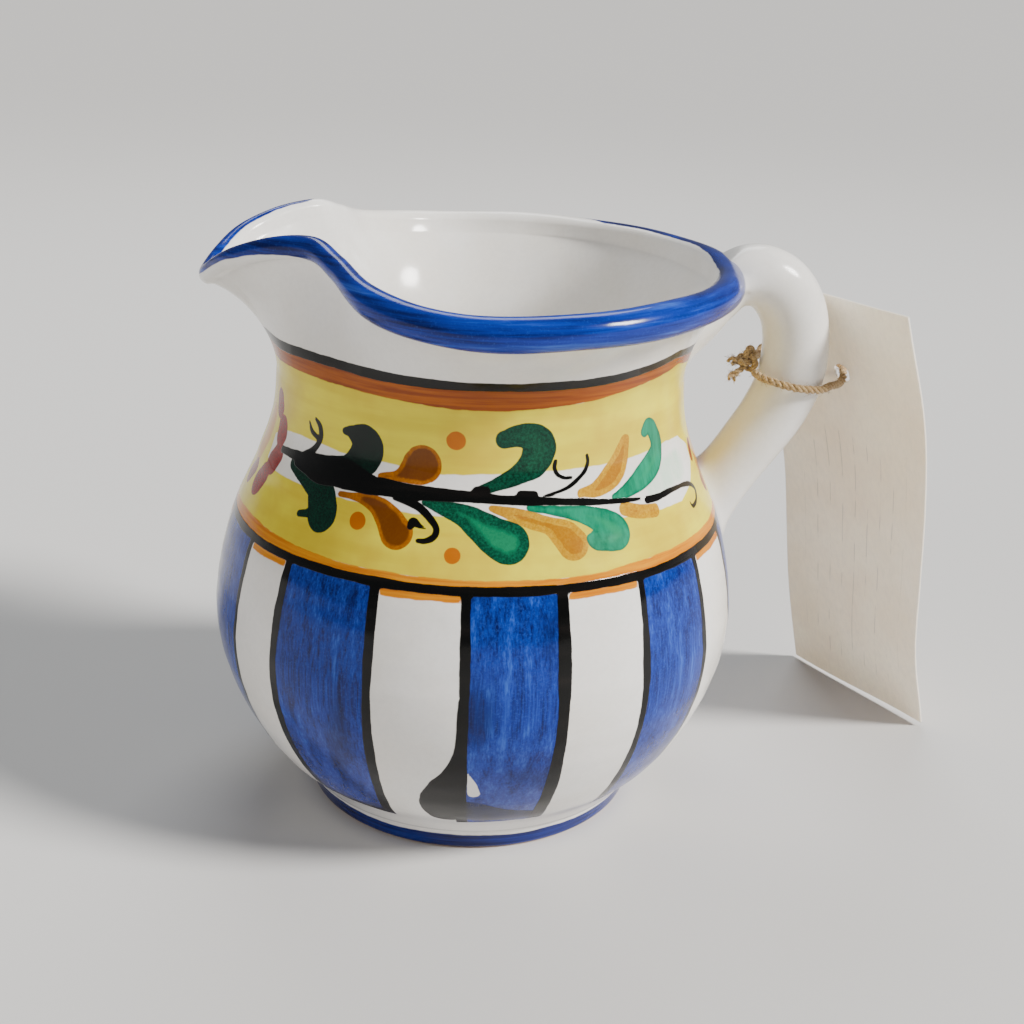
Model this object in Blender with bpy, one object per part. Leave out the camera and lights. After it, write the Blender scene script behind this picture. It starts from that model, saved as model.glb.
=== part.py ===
"""Ceramic pitcher with a pinched spout, a looped handle and a paper tag tied to the handle with twine.

Metres, +Z up. The spout points to -X and the handle to +X, so the pitcher is symmetric about the XZ plane.
The foot stands on z = 0. The body's axis is upright at x = AXIS_X, which puts the pitcher's own box over the origin.
All the stations below are measured from the body's axis.
"""

import math

import bmesh
import bpy
from mathutils import Vector

MM = 0.001
AXIS_X = -7.75  # mm, so that spout tip and handle are equally far from the origin

# ---- body of revolution, outside: (height, radius) in mm from the foot joint to the neck
OUTER_STATIONS = [
    (5.3, 38.2),
    (8.5, 40.8),
    (13.0, 45.2),
    (20.0, 50.0),
    (30.0, 54.6),
    (42.0, 57.0),
    (54.0, 55.9),
    (66.0, 52.6),
    (77.0, 47.7),
    (88.0, 44.0),
    (97.0, 43.2),
]
NECK_Z = 97.0  # where the round neck starts to open into the rim
NECK_R = 43.2

# ---- rim: bead centre by angle from the handle, 0 at +X and 180 at the spout: (degrees, radius, height) in mm
RIM_STATIONS = [
    (0.0, 50.6, 117.6),
    (25.0, 51.3, 117.6),
    (50.0, 53.0, 117.6),
    (75.0, 55.2, 117.3),
    (100.0, 55.0, 117.2),
    (120.0, 48.8, 119.4),
    (135.0, 42.9, 123.1),
    (148.0, 42.0, 125.3),
    (158.0, 46.8, 124.1),
    (166.0, 51.6, 121.4),
    (173.0, 55.2, 118.4),
    (180.0, 58.0, 115.0),
]
BEAD_R = 3.3
LIP_BEAD_R = 2.3  # the bead thins out along the spout
WALL = 4.2
LIP_WALL = 3.2
FLOOR_UNDER_Z = 5.3
FLOOR_TOP_Z = 11.0

# ---- foot ring
FOOT_H = 5.0
FOOT_OUT_BOTTOM = 36.6
FOOT_OUT_TOP = 37.7
FOOT_IN_BOTTOM = 31.6
FOOT_IN_TOP = 30.6
FOOT_EDGE = 0.9

# ---- handle centreline in the XZ plane: (x, z, half thickness in the plane, half width along Y) in mm
HANDLE_STATIONS = [
    (38.0, 105.0, 8.6, 8.4),
    (43.5, 109.4, 8.4, 8.2),
    (48.6, 113.6, 7.4, 7.6),
    (53.6, 116.5, 6.6, 7.0),
    (59.0, 116.9, 6.7, 6.8),
    (63.6, 114.4, 7.0, 6.8),
    (66.8, 109.8, 7.2, 6.8),
    (68.3, 104.0, 7.3, 6.8),
    (68.4, 98.0, 7.3, 6.8),
    (67.2, 92.0, 7.1, 6.8),
    (64.4, 86.0, 7.0, 6.7),
    (60.6, 80.2, 6.8, 6.6),
    (56.9, 74.8, 6.5, 6.5),
    (53.2, 69.2, 6.4, 6.8),
    (49.0, 63.0, 6.8, 7.4),
    (45.0, 57.5, 7.2, 7.8),
]
HANDLE_GAP = 0.3  # left between the handle's ends and the wall
HANDLE_STEPS = 64
HANDLE_SIDES = 28

# ---- paper tag: its left and right edges from the top down, in mm
TAG_LEFT = [
    (63.6, 23.4, 112.2),
    (71.5, 27.6, 90.0),
    (78.6, 33.0, 67.5),
    (83.8, 40.0, 45.0),
    (88.8, 47.4, 23.0),
    (95.2, 54.0, 0.8),
]
TAG_RIGHT = [
    (87.2, -15.4, 112.0),
    (95.0, -11.0, 89.0),
    (100.2, -6.4, 67.5),
    (104.2, -0.6, 45.0),
    (108.6, 6.0, 23.0),
    (115.4, 13.2, 1.0),
]
TAG_THICK = 0.5
TAG_ROWS = 26
TAG_COLUMNS = 14
TAG_HOLE_DOWN = 0.165  # share of the tag's length from the top edge to the hole
TAG_HOLE_R = 2.3
TAG_BOW = 1.6  # how far the middle of the tag bows away from the pitcher

# ---- twine
TWINE_R = 0.85
TWINE_SIDES = 12
KNOT_CENTRE = (57.7, 0.0, 97.4)
KNOT_RADII = (2.1, 2.3, 2.0)
KNOT_TURN_R = 1.75  # the two turns wrapped round the knot's middle
TAIL_R = 0.75
TAIL_PATHS = [
    [(0.0, 0.0, 0.0), (-1.2, -0.8, -1.0), (-2.4, -1.6, -1.9), (-3.4, -1.9, -3.0), (-3.9, -2.3, -4.3)],
    [(0.0, 0.0, 0.0), (-1.0, 0.4, 1.0), (-1.9, 0.3, 1.9), (-2.9, 0.0, 2.3), (-3.9, -0.5, 2.2)],
]


def clear_scene():
    for obj in list(bpy.data.objects):
        bpy.data.objects.remove(obj, do_unlink=True)


def material(name, colour, roughness, metallic=0.0, coat=0.0):
    mat = bpy.data.materials.new(name)
    mat.use_nodes = True
    shader = mat.node_tree.nodes["Principled BSDF"]
    shader.inputs["Base Color"].default_value = (*colour, 1.0)
    shader.inputs["Roughness"].default_value = roughness
    shader.inputs["Metallic"].default_value = metallic
    shader.inputs["Coat Weight"].default_value = coat
    return mat


def spline(stations, at, tangents=None):
    """Cubic through the stations (key, value, ...), monotone in the key, with limited overshoot. Returns the values at the key."""
    keys = [s[0] for s in stations]
    count = len(keys)
    at = min(max(at, keys[0]), keys[-1])
    i = 0
    while i < count - 2 and at > keys[i + 1]:
        i += 1
    out = []
    for column in range(1, len(stations[0])):
        values = [s[column] for s in stations]
        slopes = [(values[j + 1] - values[j]) / (keys[j + 1] - keys[j]) for j in range(count - 1)]

        def slope_at(j):
            if j == 0:
                return 0.0 if tangents == "flat" else slopes[0]
            if j == count - 1:
                return 0.0 if tangents == "flat" else slopes[-1]
            h0, h1 = keys[j] - keys[j - 1], keys[j + 1] - keys[j]
            return (slopes[j - 1] * h1 + slopes[j] * h0) / (h0 + h1)

        h = keys[i + 1] - keys[i]
        t = (at - keys[i]) / h
        m0, m1 = slope_at(i) * h, slope_at(i + 1) * h
        t2, t3 = t * t, t * t * t
        out.append(
            (2 * t3 - 3 * t2 + 1) * values[i]
            + (t3 - 2 * t2 + t) * m0
            + (-2 * t3 + 3 * t2) * values[i + 1]
            + (t3 - t2) * m1
        )
    return out


def path_point(points, t):
    """A smooth curve through points, t from 0 to 1 evenly over the points."""
    last = len(points) - 1
    rows = [(float(i), *p) for i, p in enumerate(points)]
    return spline(rows, t * last)


def object_from(name, verts, faces, mat, smooth=True):
    mesh = bpy.data.meshes.new(name)
    mesh.from_pydata([(Vector(v) + Vector((AXIS_X, 0.0, 0.0))) * MM for v in verts], [], faces)
    bm = bmesh.new()
    bm.from_mesh(mesh)
    bmesh.ops.remove_doubles(bm, verts=bm.verts, dist=1e-7)
    bmesh.ops.recalc_face_normals(bm, faces=bm.faces)
    bm.to_mesh(mesh)
    bm.free()
    for face in mesh.polygons:
        face.use_smooth = smooth
    obj = bpy.data.objects.new(name, mesh)
    bpy.context.scene.collection.objects.link(obj)
    if mat:
        obj.data.materials.append(mat)
    return obj


def grid_faces(rows, columns, offset=0, wrap=True):
    """Quads between rows of points, each row closed on itself."""
    faces = []
    for r in range(rows - 1):
        for c in range(columns if wrap else columns - 1):
            d = (c + 1) % columns
            faces.append(
                (
                    offset + r * columns + c,
                    offset + r * columns + d,
                    offset + (r + 1) * columns + d,
                    offset + (r + 1) * columns + c,
                )
            )
    return faces


def rim_at(angle):
    """(radius, height) of the bead's centre at an angle in degrees."""
    a = abs((angle + 180.0) % 360.0 - 180.0)
    return spline(RIM_STATIONS, a, "flat")


def spout_share(angle):
    """0 round the bowl of the rim, 1 along the spout."""
    a = abs((angle + 180.0) % 360.0 - 180.0)
    t = min(max((a - 112.0) / 30.0, 0.0), 1.0)
    return t * t * (3 - 2 * t)


def hermite(p0, d0, p1, d1, t):
    t2, t3 = t * t, t * t * t
    return [
        (2 * t3 - 3 * t2 + 1) * a + (t3 - 2 * t2 + t) * b + (-2 * t3 + 3 * t2) * c + (t3 - t2) * d
        for a, b, c, d in zip(p0, d0, p1, d1)
    ]


def angles():
    """Every 6 degrees round the bowl and every 3 degrees over the spout, both sides alike."""
    half = [6.0 * i for i in range(18)] + [108.0 + 3.0 * i for i in range(25)]
    return half + [360.0 - a for a in reversed(half[1:-1])]


def outer_section(angle, grow=0.0, steps=9):
    """Outside of the wall at one angle, as (radius, height), from the foot joint to under the bead."""
    points = []
    low = [5.3, 7.0, 9.5, 12.5, 16.0, 20.0, 25.0, 30.5, 36.0, 42.0, 48.0, 54.0, 60.0, 66.0, 71.5, 77.0, 82.5, 88.0, 92.5]
    for z in low:
        points.append((spline(OUTER_STATIONS, z)[0] + grow, z))
    share = spout_share(angle)
    rim_r, rim_z = rim_at(angle)
    bead = BEAD_R * (1 - share) + LIP_BEAD_R * share
    # the flare leaves the neck upright and meets the bead leaning outwards
    end = (rim_r - 0.25 * bead + grow, rim_z - 0.9 * bead - grow)
    rise = end[1] - NECK_Z
    reach = max(end[0] - NECK_R, 2.0)
    lean0 = (0.0, rise * 0.95)
    lean1 = (reach * 1.35 + 4.0 * share, rise * (0.62 - 0.15 * share))
    for i in range(steps + 1):
        points.append(tuple(hermite((NECK_R + grow, NECK_Z), lean0, end, lean1, i / steps)))
    return points


def rim_section(angle):
    """The bead, from its outer lower side over the top to the inner side."""
    share = spout_share(angle)
    rim_r, rim_z = rim_at(angle)
    bead = BEAD_R * (1 - share) + LIP_BEAD_R * share
    points = []
    for degrees in (-62.0, -32.0, -2.0, 28.0, 58.0, 90.0, 122.0, 154.0):
        a = math.radians(degrees)
        points.append((rim_r + bead * math.cos(a), rim_z + bead * math.sin(a)))
    return points


def inner_section(angle, steps=8):
    """Inside of the wall at one angle, from under the bead down to the floor's edge."""
    share = spout_share(angle)
    rim_r, rim_z = rim_at(angle)
    bead = BEAD_R * (1 - share) + LIP_BEAD_R * share
    wall = WALL * (1 - share) + LIP_WALL * share
    inner_neck = NECK_R - WALL
    start = (rim_r - bead * 0.98, rim_z - 0.35 * bead)
    drop = start[1] - NECK_Z
    reach = max(start[0] - inner_neck, 1.0)
    lean0 = (-(reach * 1.2 + 3.0 * share), -drop * 0.55)
    lean1 = (0.0, -drop * 0.95)
    points = [start]
    for i in range(1, steps + 1):
        points.append(tuple(hermite(start, lean0, (inner_neck, NECK_Z), lean1, i / steps)))
    for z in (91.0, 85.0, 79.0, 72.0, 64.0, 55.0, 46.0, 37.0, 28.5, 22.0, 17.0):
        thick = WALL + 0.6 * max(0.0, (40.0 - z) / 30.0)
        points.append((spline(OUTER_STATIONS, z)[0] - thick, z))
    points.append((38.6, 13.2))
    points.append((34.0, FLOOR_TOP_Z + 0.35))
    points.append((26.0, FLOOR_TOP_Z))
    return points


def ring_points(sections, around):
    rows = len(sections[0])
    verts = []
    for r in range(rows):
        for section, angle in zip(sections, around):
            a = math.radians(angle)
            radius, z = section[r]
            verts.append((radius * math.cos(a), radius * math.sin(a), z))
    return verts, rows


def make_body(mat):
    around = angles()
    sections = [outer_section(a) + rim_section(a) + inner_section(a) for a in around]
    verts, rows = ring_points(sections, around)
    columns = len(around)
    faces = grid_faces(rows, columns)
    verts.append((0.0, 0.0, FLOOR_UNDER_Z))
    under = len(verts) - 1
    verts.append((0.0, 0.0, FLOOR_TOP_Z))
    floor = len(verts) - 1
    top = (rows - 1) * columns
    for c in range(columns):
        d = (c + 1) % columns
        faces.append((under, d, c))
        faces.append((floor, top + c, top + d))
    return object_from("jug_body", verts, faces, mat)


def make_wall_cutter():
    """The outside of the body as one closed solid, larger all over by the gap: it trims the handle's ends."""
    around = angles()
    sections = []
    for a in around:
        rim_r, rim_z = rim_at(a)
        share = spout_share(a)
        bead = BEAD_R * (1 - share) + LIP_BEAD_R * share + HANDLE_GAP
        bead_points = [
            (rim_r + bead * math.cos(math.radians(d)), rim_z + bead * math.sin(math.radians(d)))
            for d in (-62.0, -32.0, -2.0, 28.0, 58.0, 90.0)
        ]
        sections.append(outer_section(a, HANDLE_GAP) + bead_points)
    verts, rows = ring_points(sections, around)
    columns = len(around)
    faces = grid_faces(rows, columns)
    verts.append((0.0, 0.0, FLOOR_UNDER_Z))
    verts.append((0.0, 0.0, 121.0))
    under, over = len(verts) - 2, len(verts) - 1
    top = (rows - 1) * columns
    for c in range(columns):
        d = (c + 1) % columns
        faces.append((under, d, c))
        faces.append((over, top + c, top + d))
    cutter = object_from("wall_cutter", verts, faces, None)
    cutter.hide_render = True
    cutter.display_type = "WIRE"
    return cutter


def make_foot(mat):
    e = FOOT_EDGE
    section = [
        (FOOT_IN_BOTTOM + 0.6 * e, 0.0),
        (FOOT_OUT_BOTTOM - e, 0.0),
        (FOOT_OUT_BOTTOM - 0.3 * e, 0.3 * e),
        (FOOT_OUT_BOTTOM, e),
        (FOOT_OUT_BOTTOM + 0.35, 2.6),
        (FOOT_OUT_TOP - 0.2, FOOT_H - 0.6),
        (FOOT_OUT_TOP - 0.6, FOOT_H),
        (FOOT_IN_TOP, FOOT_H),
        (FOOT_IN_BOTTOM, 0.6 * e),
    ]
    columns = 72
    around = [360.0 * i / columns for i in range(columns)]
    verts, rows = ring_points([section] * columns, around)
    faces = grid_faces(rows, columns)
    last = (rows - 1) * columns
    for c in range(columns):
        d = (c + 1) % columns
        faces.append((last + c, last + d, d, c))
    return object_from("foot_ring", verts, faces, mat)


def tube(name, points, frames_up, radii, sides, mat):
    """A closed tube along points; radii are (along the frame's second axis, along its third) for each point."""
    verts = []
    count = len(points)
    for i, p in enumerate(points):
        before = Vector(points[max(i - 1, 0)])
        after = Vector(points[min(i + 1, count - 1)])
        along = (after - before).normalized()
        side = frames_up[i] - along * along.dot(frames_up[i])
        side.normalize()
        other = along.cross(side)
        for k in range(sides):
            a = 2 * math.pi * k / sides
            verts.append(tuple(Vector(p) + side * (radii[i][0] * math.cos(a)) + other * (radii[i][1] * math.sin(a))))
    faces = grid_faces(count, sides)
    verts.append(tuple(points[0]))
    verts.append(tuple(points[-1]))
    first, end = len(verts) - 2, len(verts) - 1
    last = (count - 1) * sides
    for k in range(sides):
        m = (k + 1) % sides
        faces.append((first, m, k))
        faces.append((end, last + k, last + m))
    return object_from(name, verts, faces, mat)


def make_handle(mat, cutter):
    points, radii, ups = [], [], []
    for i in range(HANDLE_STEPS + 1):
        x, z, thick, wide = path_point(HANDLE_STATIONS, i / HANDLE_STEPS)
        points.append((x, 0.0, z))
        radii.append((wide, thick))
        ups.append(Vector((0.0, 1.0, 0.0)))
    handle = tube("handle", points, ups, radii, HANDLE_SIDES, mat)
    trim = handle.modifiers.new("trim_to_wall", "BOOLEAN")
    trim.operation = "DIFFERENCE"
    trim.solver = "EXACT"
    trim.object = cutter
    return handle


def tag_point(u, v):
    """Middle of the sheet: u 0 to 1 from left to right, v 0 to 1 from the top down."""
    left = Vector(path_point(TAG_LEFT, v))
    right = Vector(path_point(TAG_RIGHT, v))
    point = left.lerp(right, u)
    point += tag_normal(v) * (TAG_BOW * 4 * u * (1 - u) * math.sin(math.pi * v))
    return point


def tag_normal(v):
    left = Vector(path_point(TAG_LEFT, v))
    right = Vector(path_point(TAG_RIGHT, v))
    a, b = max(v - 0.02, 0.0), min(v + 0.02, 1.0)
    down = (Vector(path_point(TAG_LEFT, b)) + Vector(path_point(TAG_RIGHT, b))) - (
        Vector(path_point(TAG_LEFT, a)) + Vector(path_point(TAG_RIGHT, a))
    )
    return (right - left).cross(down).normalized()


def tag_hole():
    """(centre, sheet's width direction, sheet's normal) at the punched hole."""
    v = TAG_HOLE_DOWN
    across = (tag_point(1.0, v) - tag_point(0.0, v)).normalized()
    return tag_point(0.5, v), across, tag_normal(v)


def make_tag(mat):
    verts = []
    for side in (-0.5, 0.5):
        for r in range(TAG_ROWS + 1):
            v = r / TAG_ROWS
            for c in range(TAG_COLUMNS + 1):
                verts.append(tuple(tag_point(c / TAG_COLUMNS, v) + tag_normal(v) * (side * TAG_THICK)))
    columns, rows = TAG_COLUMNS + 1, TAG_ROWS + 1
    half = columns * rows
    faces = grid_faces(rows, columns, 0, wrap=False)
    faces += [tuple(reversed(f)) for f in grid_faces(rows, columns, half, wrap=False)]
    edge = (
        [c for c in range(columns)]
        + [r * columns + columns - 1 for r in range(1, rows)]
        + [(rows - 1) * columns + c for c in range(columns - 2, -1, -1)]
        + [r * columns for r in range(rows - 2, 0, -1)]
    )
    for i, a in enumerate(edge):
        b = edge[(i + 1) % len(edge)]
        faces.append((a, b, half + b, half + a))
    tag = object_from("hang_tag", verts, faces, mat, smooth=False)

    centre, across, normal = tag_hole()
    up = normal.cross(across).normalized()
    cut = []
    for end in (-4.0, 4.0):
        for k in range(24):
            a = 2 * math.pi * k / 24
            cut.append(
                tuple(centre + normal * end + across * (TAG_HOLE_R * math.cos(a)) + up * (TAG_HOLE_R * math.sin(a)))
            )
    cut_faces = grid_faces(2, 24) + [tuple(range(23, -1, -1)), tuple(range(24, 48))]
    punch = object_from("tag_punch", cut, cut_faces, None, smooth=False)
    punch.hide_render = True
    punch.display_type = "WIRE"
    hole = tag.modifiers.new("hole", "BOOLEAN")
    hole.operation = "DIFFERENCE"
    hole.solver = "EXACT"
    hole.object = punch
    return tag


def twine_path():
    """Control points of the loop: from the knot across the front of the handle, through the tag's hole,
    behind the tag to its near edge and round it, and back to the knot."""
    hole, across, normal = tag_hole()
    knot = Vector(KNOT_CENTRE)
    back = -across  # from the hole towards the tag's edge behind the handle
    points = [
        knot + Vector((1.2, -3.15, -0.9)),
        Vector((61.0, -7.0, 95.2)),
        Vector((66.8, -8.5, 93.4)),
        Vector((72.6, -7.2, 92.5)),
        Vector((76.8, -3.2, 92.6)),
        hole - normal * 3.6 - back * 2.4,
        hole - normal * 0.0,
        hole + normal * 2.3 + back * 3.0,
        hole + normal * 2.4 + back * 10.0,
        hole + normal * 2.2 + back * 18.5,
        hole + normal * 0.4 + back * 24.6,
        hole - normal * 3.8 + back * 23.0,
        Vector((62.8, 12.2, 96.6)),
        knot + Vector((0.8, 3.35, -0.1)),
    ]
    return points


def make_twine(loop_mat):
    control = [tuple(p) for p in twine_path()]
    steps = 84
    points = [Vector(path_point(control, i / steps)) for i in range(steps + 1)]
    up = Vector((0.0, 0.0, 1.0))
    return tube(
        "twine_loop",
        [tuple(p) for p in points],
        [up] * len(points),
        [(TWINE_R, TWINE_R)] * len(points),
        TWINE_SIDES,
        loop_mat,
    )


def ellipsoid(name, centre, radii, mat, rings=12, sides=20):
    verts = []
    for r in range(1, rings):
        a = math.pi * r / rings
        for k in range(sides):
            b = 2 * math.pi * k / sides
            verts.append(
                (
                    centre[0] + radii[0] * math.sin(a) * math.cos(b),
                    centre[1] + radii[1] * math.sin(a) * math.sin(b),
                    centre[2] + radii[2] * math.cos(a),
                )
            )
    faces = grid_faces(rings - 1, sides)
    verts.append((centre[0], centre[1], centre[2] + radii[2]))
    verts.append((centre[0], centre[1], centre[2] - radii[2]))
    top, low = len(verts) - 2, len(verts) - 1
    last = (rings - 2) * sides
    for k in range(sides):
        m = (k + 1) % sides
        faces.append((top, m, k))
        faces.append((low, last + k, last + m))
    return object_from(name, verts, faces, mat)


def ring(name, centre, axis, radius, thick, mat, around=24, sides=10):
    """A torus: one turn of twine round the knot."""
    axis = Vector(axis).normalized()
    side = axis.orthogonal().normalized()
    other = axis.cross(side)
    verts = []
    for i in range(around):
        a = 2 * math.pi * i / around
        out = side * math.cos(a) + other * math.sin(a)
        for k in range(sides):
            b = 2 * math.pi * k / sides
            verts.append(tuple(Vector(centre) + out * (radius + thick * math.cos(b)) + axis * (thick * math.sin(b))))
    faces = []
    for i in range(around):
        j = (i + 1) % around
        for k in range(sides):
            m = (k + 1) % sides
            faces.append((i * sides + k, j * sides + k, j * sides + m, i * sides + m))
    return object_from(name, verts, faces, mat)


def make_knot(mat):
    knot = ellipsoid("twine_knot", KNOT_CENTRE, KNOT_RADII, mat)
    centre = Vector(KNOT_CENTRE)
    helpers = [
        ring("knot_turn_a", centre + Vector((0.1, -0.55, 0.0)), (0.25, 1.0, 0.35), KNOT_TURN_R, TAIL_R, None),
        ring("knot_turn_b", centre + Vector((-0.1, 0.6, 0.1)), (-0.3, 1.0, -0.25), KNOT_TURN_R, TAIL_R, None),
    ]
    for i, path in enumerate(TAIL_PATHS):
        control = [tuple(centre + Vector(p)) for p in path]
        steps = 16
        points = [path_point(control, k / steps) for k in range(steps + 1)]
        helpers.append(
            tube(
                f"knot_tail_{i}",
                [tuple(p) for p in points],
                [Vector((0.2, 1.0, 0.1))] * len(points),
                [(TAIL_R, TAIL_R)] * len(points),
                10,
                None,
            )
        )
    for helper in helpers:
        helper.hide_render = True
        helper.display_type = "WIRE"
        join = knot.modifiers.new(helper.name, "BOOLEAN")
        join.operation = "UNION"
        join.solver = "EXACT"
        join.object = helper
    return knot


def main():
    clear_scene()
    glaze = material("tin_glaze", (0.86, 0.85, 0.82), 0.16, coat=0.6)
    handle_glaze = material("handle_glaze", (0.86, 0.85, 0.82), 0.16, coat=0.6)
    foot_glaze = material("cobalt_glaze", (0.02, 0.05, 0.30), 0.22, coat=0.6)
    twine_mat = material("jute_twine", (0.36, 0.24, 0.12), 0.95)
    paper = material("tag_paper", (0.78, 0.74, 0.69), 0.9)

    make_body(glaze)
    cutter = make_wall_cutter()
    make_handle(handle_glaze, cutter)
    make_foot(foot_glaze)
    make_tag(paper)
    make_twine(twine_mat)
    make_knot(twine_mat)


main()
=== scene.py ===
import math
import random

import bmesh
import bpy
import numpy as np
from mathutils import Matrix, Vector


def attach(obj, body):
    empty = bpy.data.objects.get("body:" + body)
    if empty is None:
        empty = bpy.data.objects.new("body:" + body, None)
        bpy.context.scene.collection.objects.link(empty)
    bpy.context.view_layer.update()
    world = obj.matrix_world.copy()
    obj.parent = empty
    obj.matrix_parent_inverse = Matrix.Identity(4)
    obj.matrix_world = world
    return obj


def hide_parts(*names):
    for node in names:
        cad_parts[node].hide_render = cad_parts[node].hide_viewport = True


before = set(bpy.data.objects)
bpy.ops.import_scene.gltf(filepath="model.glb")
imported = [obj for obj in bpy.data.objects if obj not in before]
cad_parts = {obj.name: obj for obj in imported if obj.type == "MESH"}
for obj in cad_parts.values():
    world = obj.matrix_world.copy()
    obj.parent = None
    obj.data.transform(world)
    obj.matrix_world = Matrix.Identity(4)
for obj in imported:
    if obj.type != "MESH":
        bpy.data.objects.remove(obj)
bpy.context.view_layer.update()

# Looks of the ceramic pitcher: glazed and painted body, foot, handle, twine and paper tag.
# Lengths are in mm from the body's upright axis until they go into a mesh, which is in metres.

MM = 0.001
AXIS_X = -7.75
random.seed(7)
RNG = np.random.default_rng(7)

# ------------------------------------------------------------------ shape

OUTER_STATIONS = [
    (5.3, 38.2), (8.5, 40.8), (13.0, 45.2), (20.0, 50.0), (30.0, 54.6), (42.0, 57.0),
    (54.0, 55.9), (66.0, 52.6), (77.0, 47.7), (88.0, 44.0), (97.0, 43.2),
]
NECK_Z, NECK_R = 97.0, 43.2
RIM_STATIONS = [
    (0.0, 50.6, 117.6), (25.0, 51.3, 117.6), (50.0, 53.0, 117.6), (75.0, 55.2, 117.3), (100.0, 55.0, 117.2),
    (120.0, 48.8, 119.4), (135.0, 42.9, 123.1), (148.0, 42.0, 125.3), (158.0, 46.8, 124.1), (166.0, 51.6, 121.4),
    (173.0, 54.2, 118.5), (180.0, 56.4, 115.6),
]
BEAD_R, LIP_BEAD_R, WALL, LIP_WALL = 3.3, 2.3, 4.2, 3.2
FLOOR_UNDER_Z, FLOOR_TOP_Z = 5.3, 11.0
HANDLE_STATIONS = [
    (38.0, 105.0, 8.6, 8.4), (43.5, 109.4, 8.4, 8.2), (48.6, 113.6, 7.4, 7.6), (53.6, 116.5, 6.6, 7.0),
    (59.0, 116.9, 6.7, 6.8), (63.6, 114.4, 7.0, 6.8), (66.8, 109.8, 7.2, 6.8), (68.3, 104.0, 7.3, 6.8),
    (68.4, 98.0, 7.3, 6.8), (67.2, 92.0, 7.1, 6.8), (64.4, 86.0, 7.0, 6.7), (60.6, 80.2, 6.8, 6.6),
    (56.9, 74.8, 6.5, 6.5), (53.2, 69.2, 6.4, 6.8), (49.0, 63.0, 6.8, 7.4), (45.0, 57.5, 7.2, 7.8),
]
TAG_LEFT = [
    (63.6, 23.4, 112.2), (71.5, 27.6, 90.0), (78.6, 33.0, 67.5), (83.8, 40.0, 45.0), (88.8, 47.4, 23.0), (95.2, 54.0, 0.8),
]
TAG_RIGHT = [
    (87.2, -15.4, 112.0), (95.0, -11.0, 89.0), (100.2, -6.4, 67.5), (104.2, -0.6, 45.0), (108.6, 6.0, 23.0), (115.4, 13.2, 1.0),
]
TAG_HOLE_DOWN, TAG_HOLE_R, TAG_BOW, TAG_THICK = 0.165, 2.3, 1.6, 0.42
TWINE_R = 0.85
KNOT_CENTRE = (57.7, 0.0, 97.4)
TAIL_PATHS = [
    [(0.0, 0.0, 0.0), (-1.2, -0.8, -1.0), (-2.4, -1.6, -1.9), (-3.4, -1.9, -3.0), (-3.9, -2.3, -4.3)],
    [(0.0, 0.0, 0.0), (-1.0, 0.4, 1.0), (-1.9, 0.3, 1.9), (-2.9, 0.0, 2.3), (-3.9, -0.5, 2.2)],
]


def cubic(stations, at, flat=False):
    """Smooth values through stations (key, value, ...) at an array of keys: one array per value."""
    s = np.array(stations, float)
    keys, at = s[:, 0], np.clip(np.asarray(at, float), s[0, 0], s[-1, 0])
    i = np.clip(np.searchsorted(keys, at, side="left") - 1, 0, len(keys) - 2)
    h = np.diff(keys)
    out = []
    for column in range(1, s.shape[1]):
        v = s[:, column]
        slope = np.diff(v) / h
        m = np.empty(len(keys))
        m[1:-1] = (slope[:-1] * h[1:] + slope[1:] * h[:-1]) / (h[:-1] + h[1:])
        m[0], m[-1] = (0.0, 0.0) if flat else (slope[0], slope[-1])
        t = (at - keys[i]) / h[i]
        t2, t3 = t * t, t * t * t
        out.append(
            (2 * t3 - 3 * t2 + 1) * v[i]
            + (t3 - 2 * t2 + t) * m[i] * h[i]
            + (-2 * t3 + 3 * t2) * v[i + 1]
            + (t3 - t2) * m[i + 1] * h[i]
        )
    return out


def along(points, t):
    """Points on a smooth curve through points, t from 0 to 1."""
    rows = [(float(i), *p) for i, p in enumerate(points)]
    return np.stack(cubic(rows, np.asarray(t) * (len(points) - 1)), -1)


def fold(angle):
    return np.abs((np.asarray(angle, float) + 180.0) % 360.0 - 180.0)


def rim_at(angle):
    return cubic(RIM_STATIONS, fold(angle), True)


def spout_share(angle):
    t = np.clip((fold(angle) - 112.0) / 30.0, 0, 1)
    return t * t * (3 - 2 * t)


def hermite(p0, d0, p1, d1, t):
    t2, t3 = t * t, t * t * t
    return [
        (2 * t3 - 3 * t2 + 1) * a + (t3 - 2 * t2 + t) * b + (-2 * t3 + 3 * t2) * c + (t3 - t2) * d
        for a, b, c, d in zip(p0, d0, p1, d1)
    ]


COLUMNS = 720
TURN = np.arange(COLUMNS) * 360.0 / COLUMNS
LOW_ROWS = np.arange(5.3, 66.0, 0.75)
VINE_ROWS = np.arange(66.0, 97.0, 0.42)


def flare(angle, t):
    share = spout_share(angle)
    rim_r, rim_z = rim_at(angle)
    bead = BEAD_R * (1 - share) + LIP_BEAD_R * share
    end = (rim_r - 0.25 * bead, rim_z - 0.9 * bead)
    rise = end[1] - NECK_Z
    reach = np.maximum(end[0] - NECK_R, 2.0)
    return hermite(
        (NECK_R, NECK_Z), (0.0, rise * 0.95), end, (reach * 1.35 + 4.0 * share, rise * (0.62 - 0.15 * share)), t
    )


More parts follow.
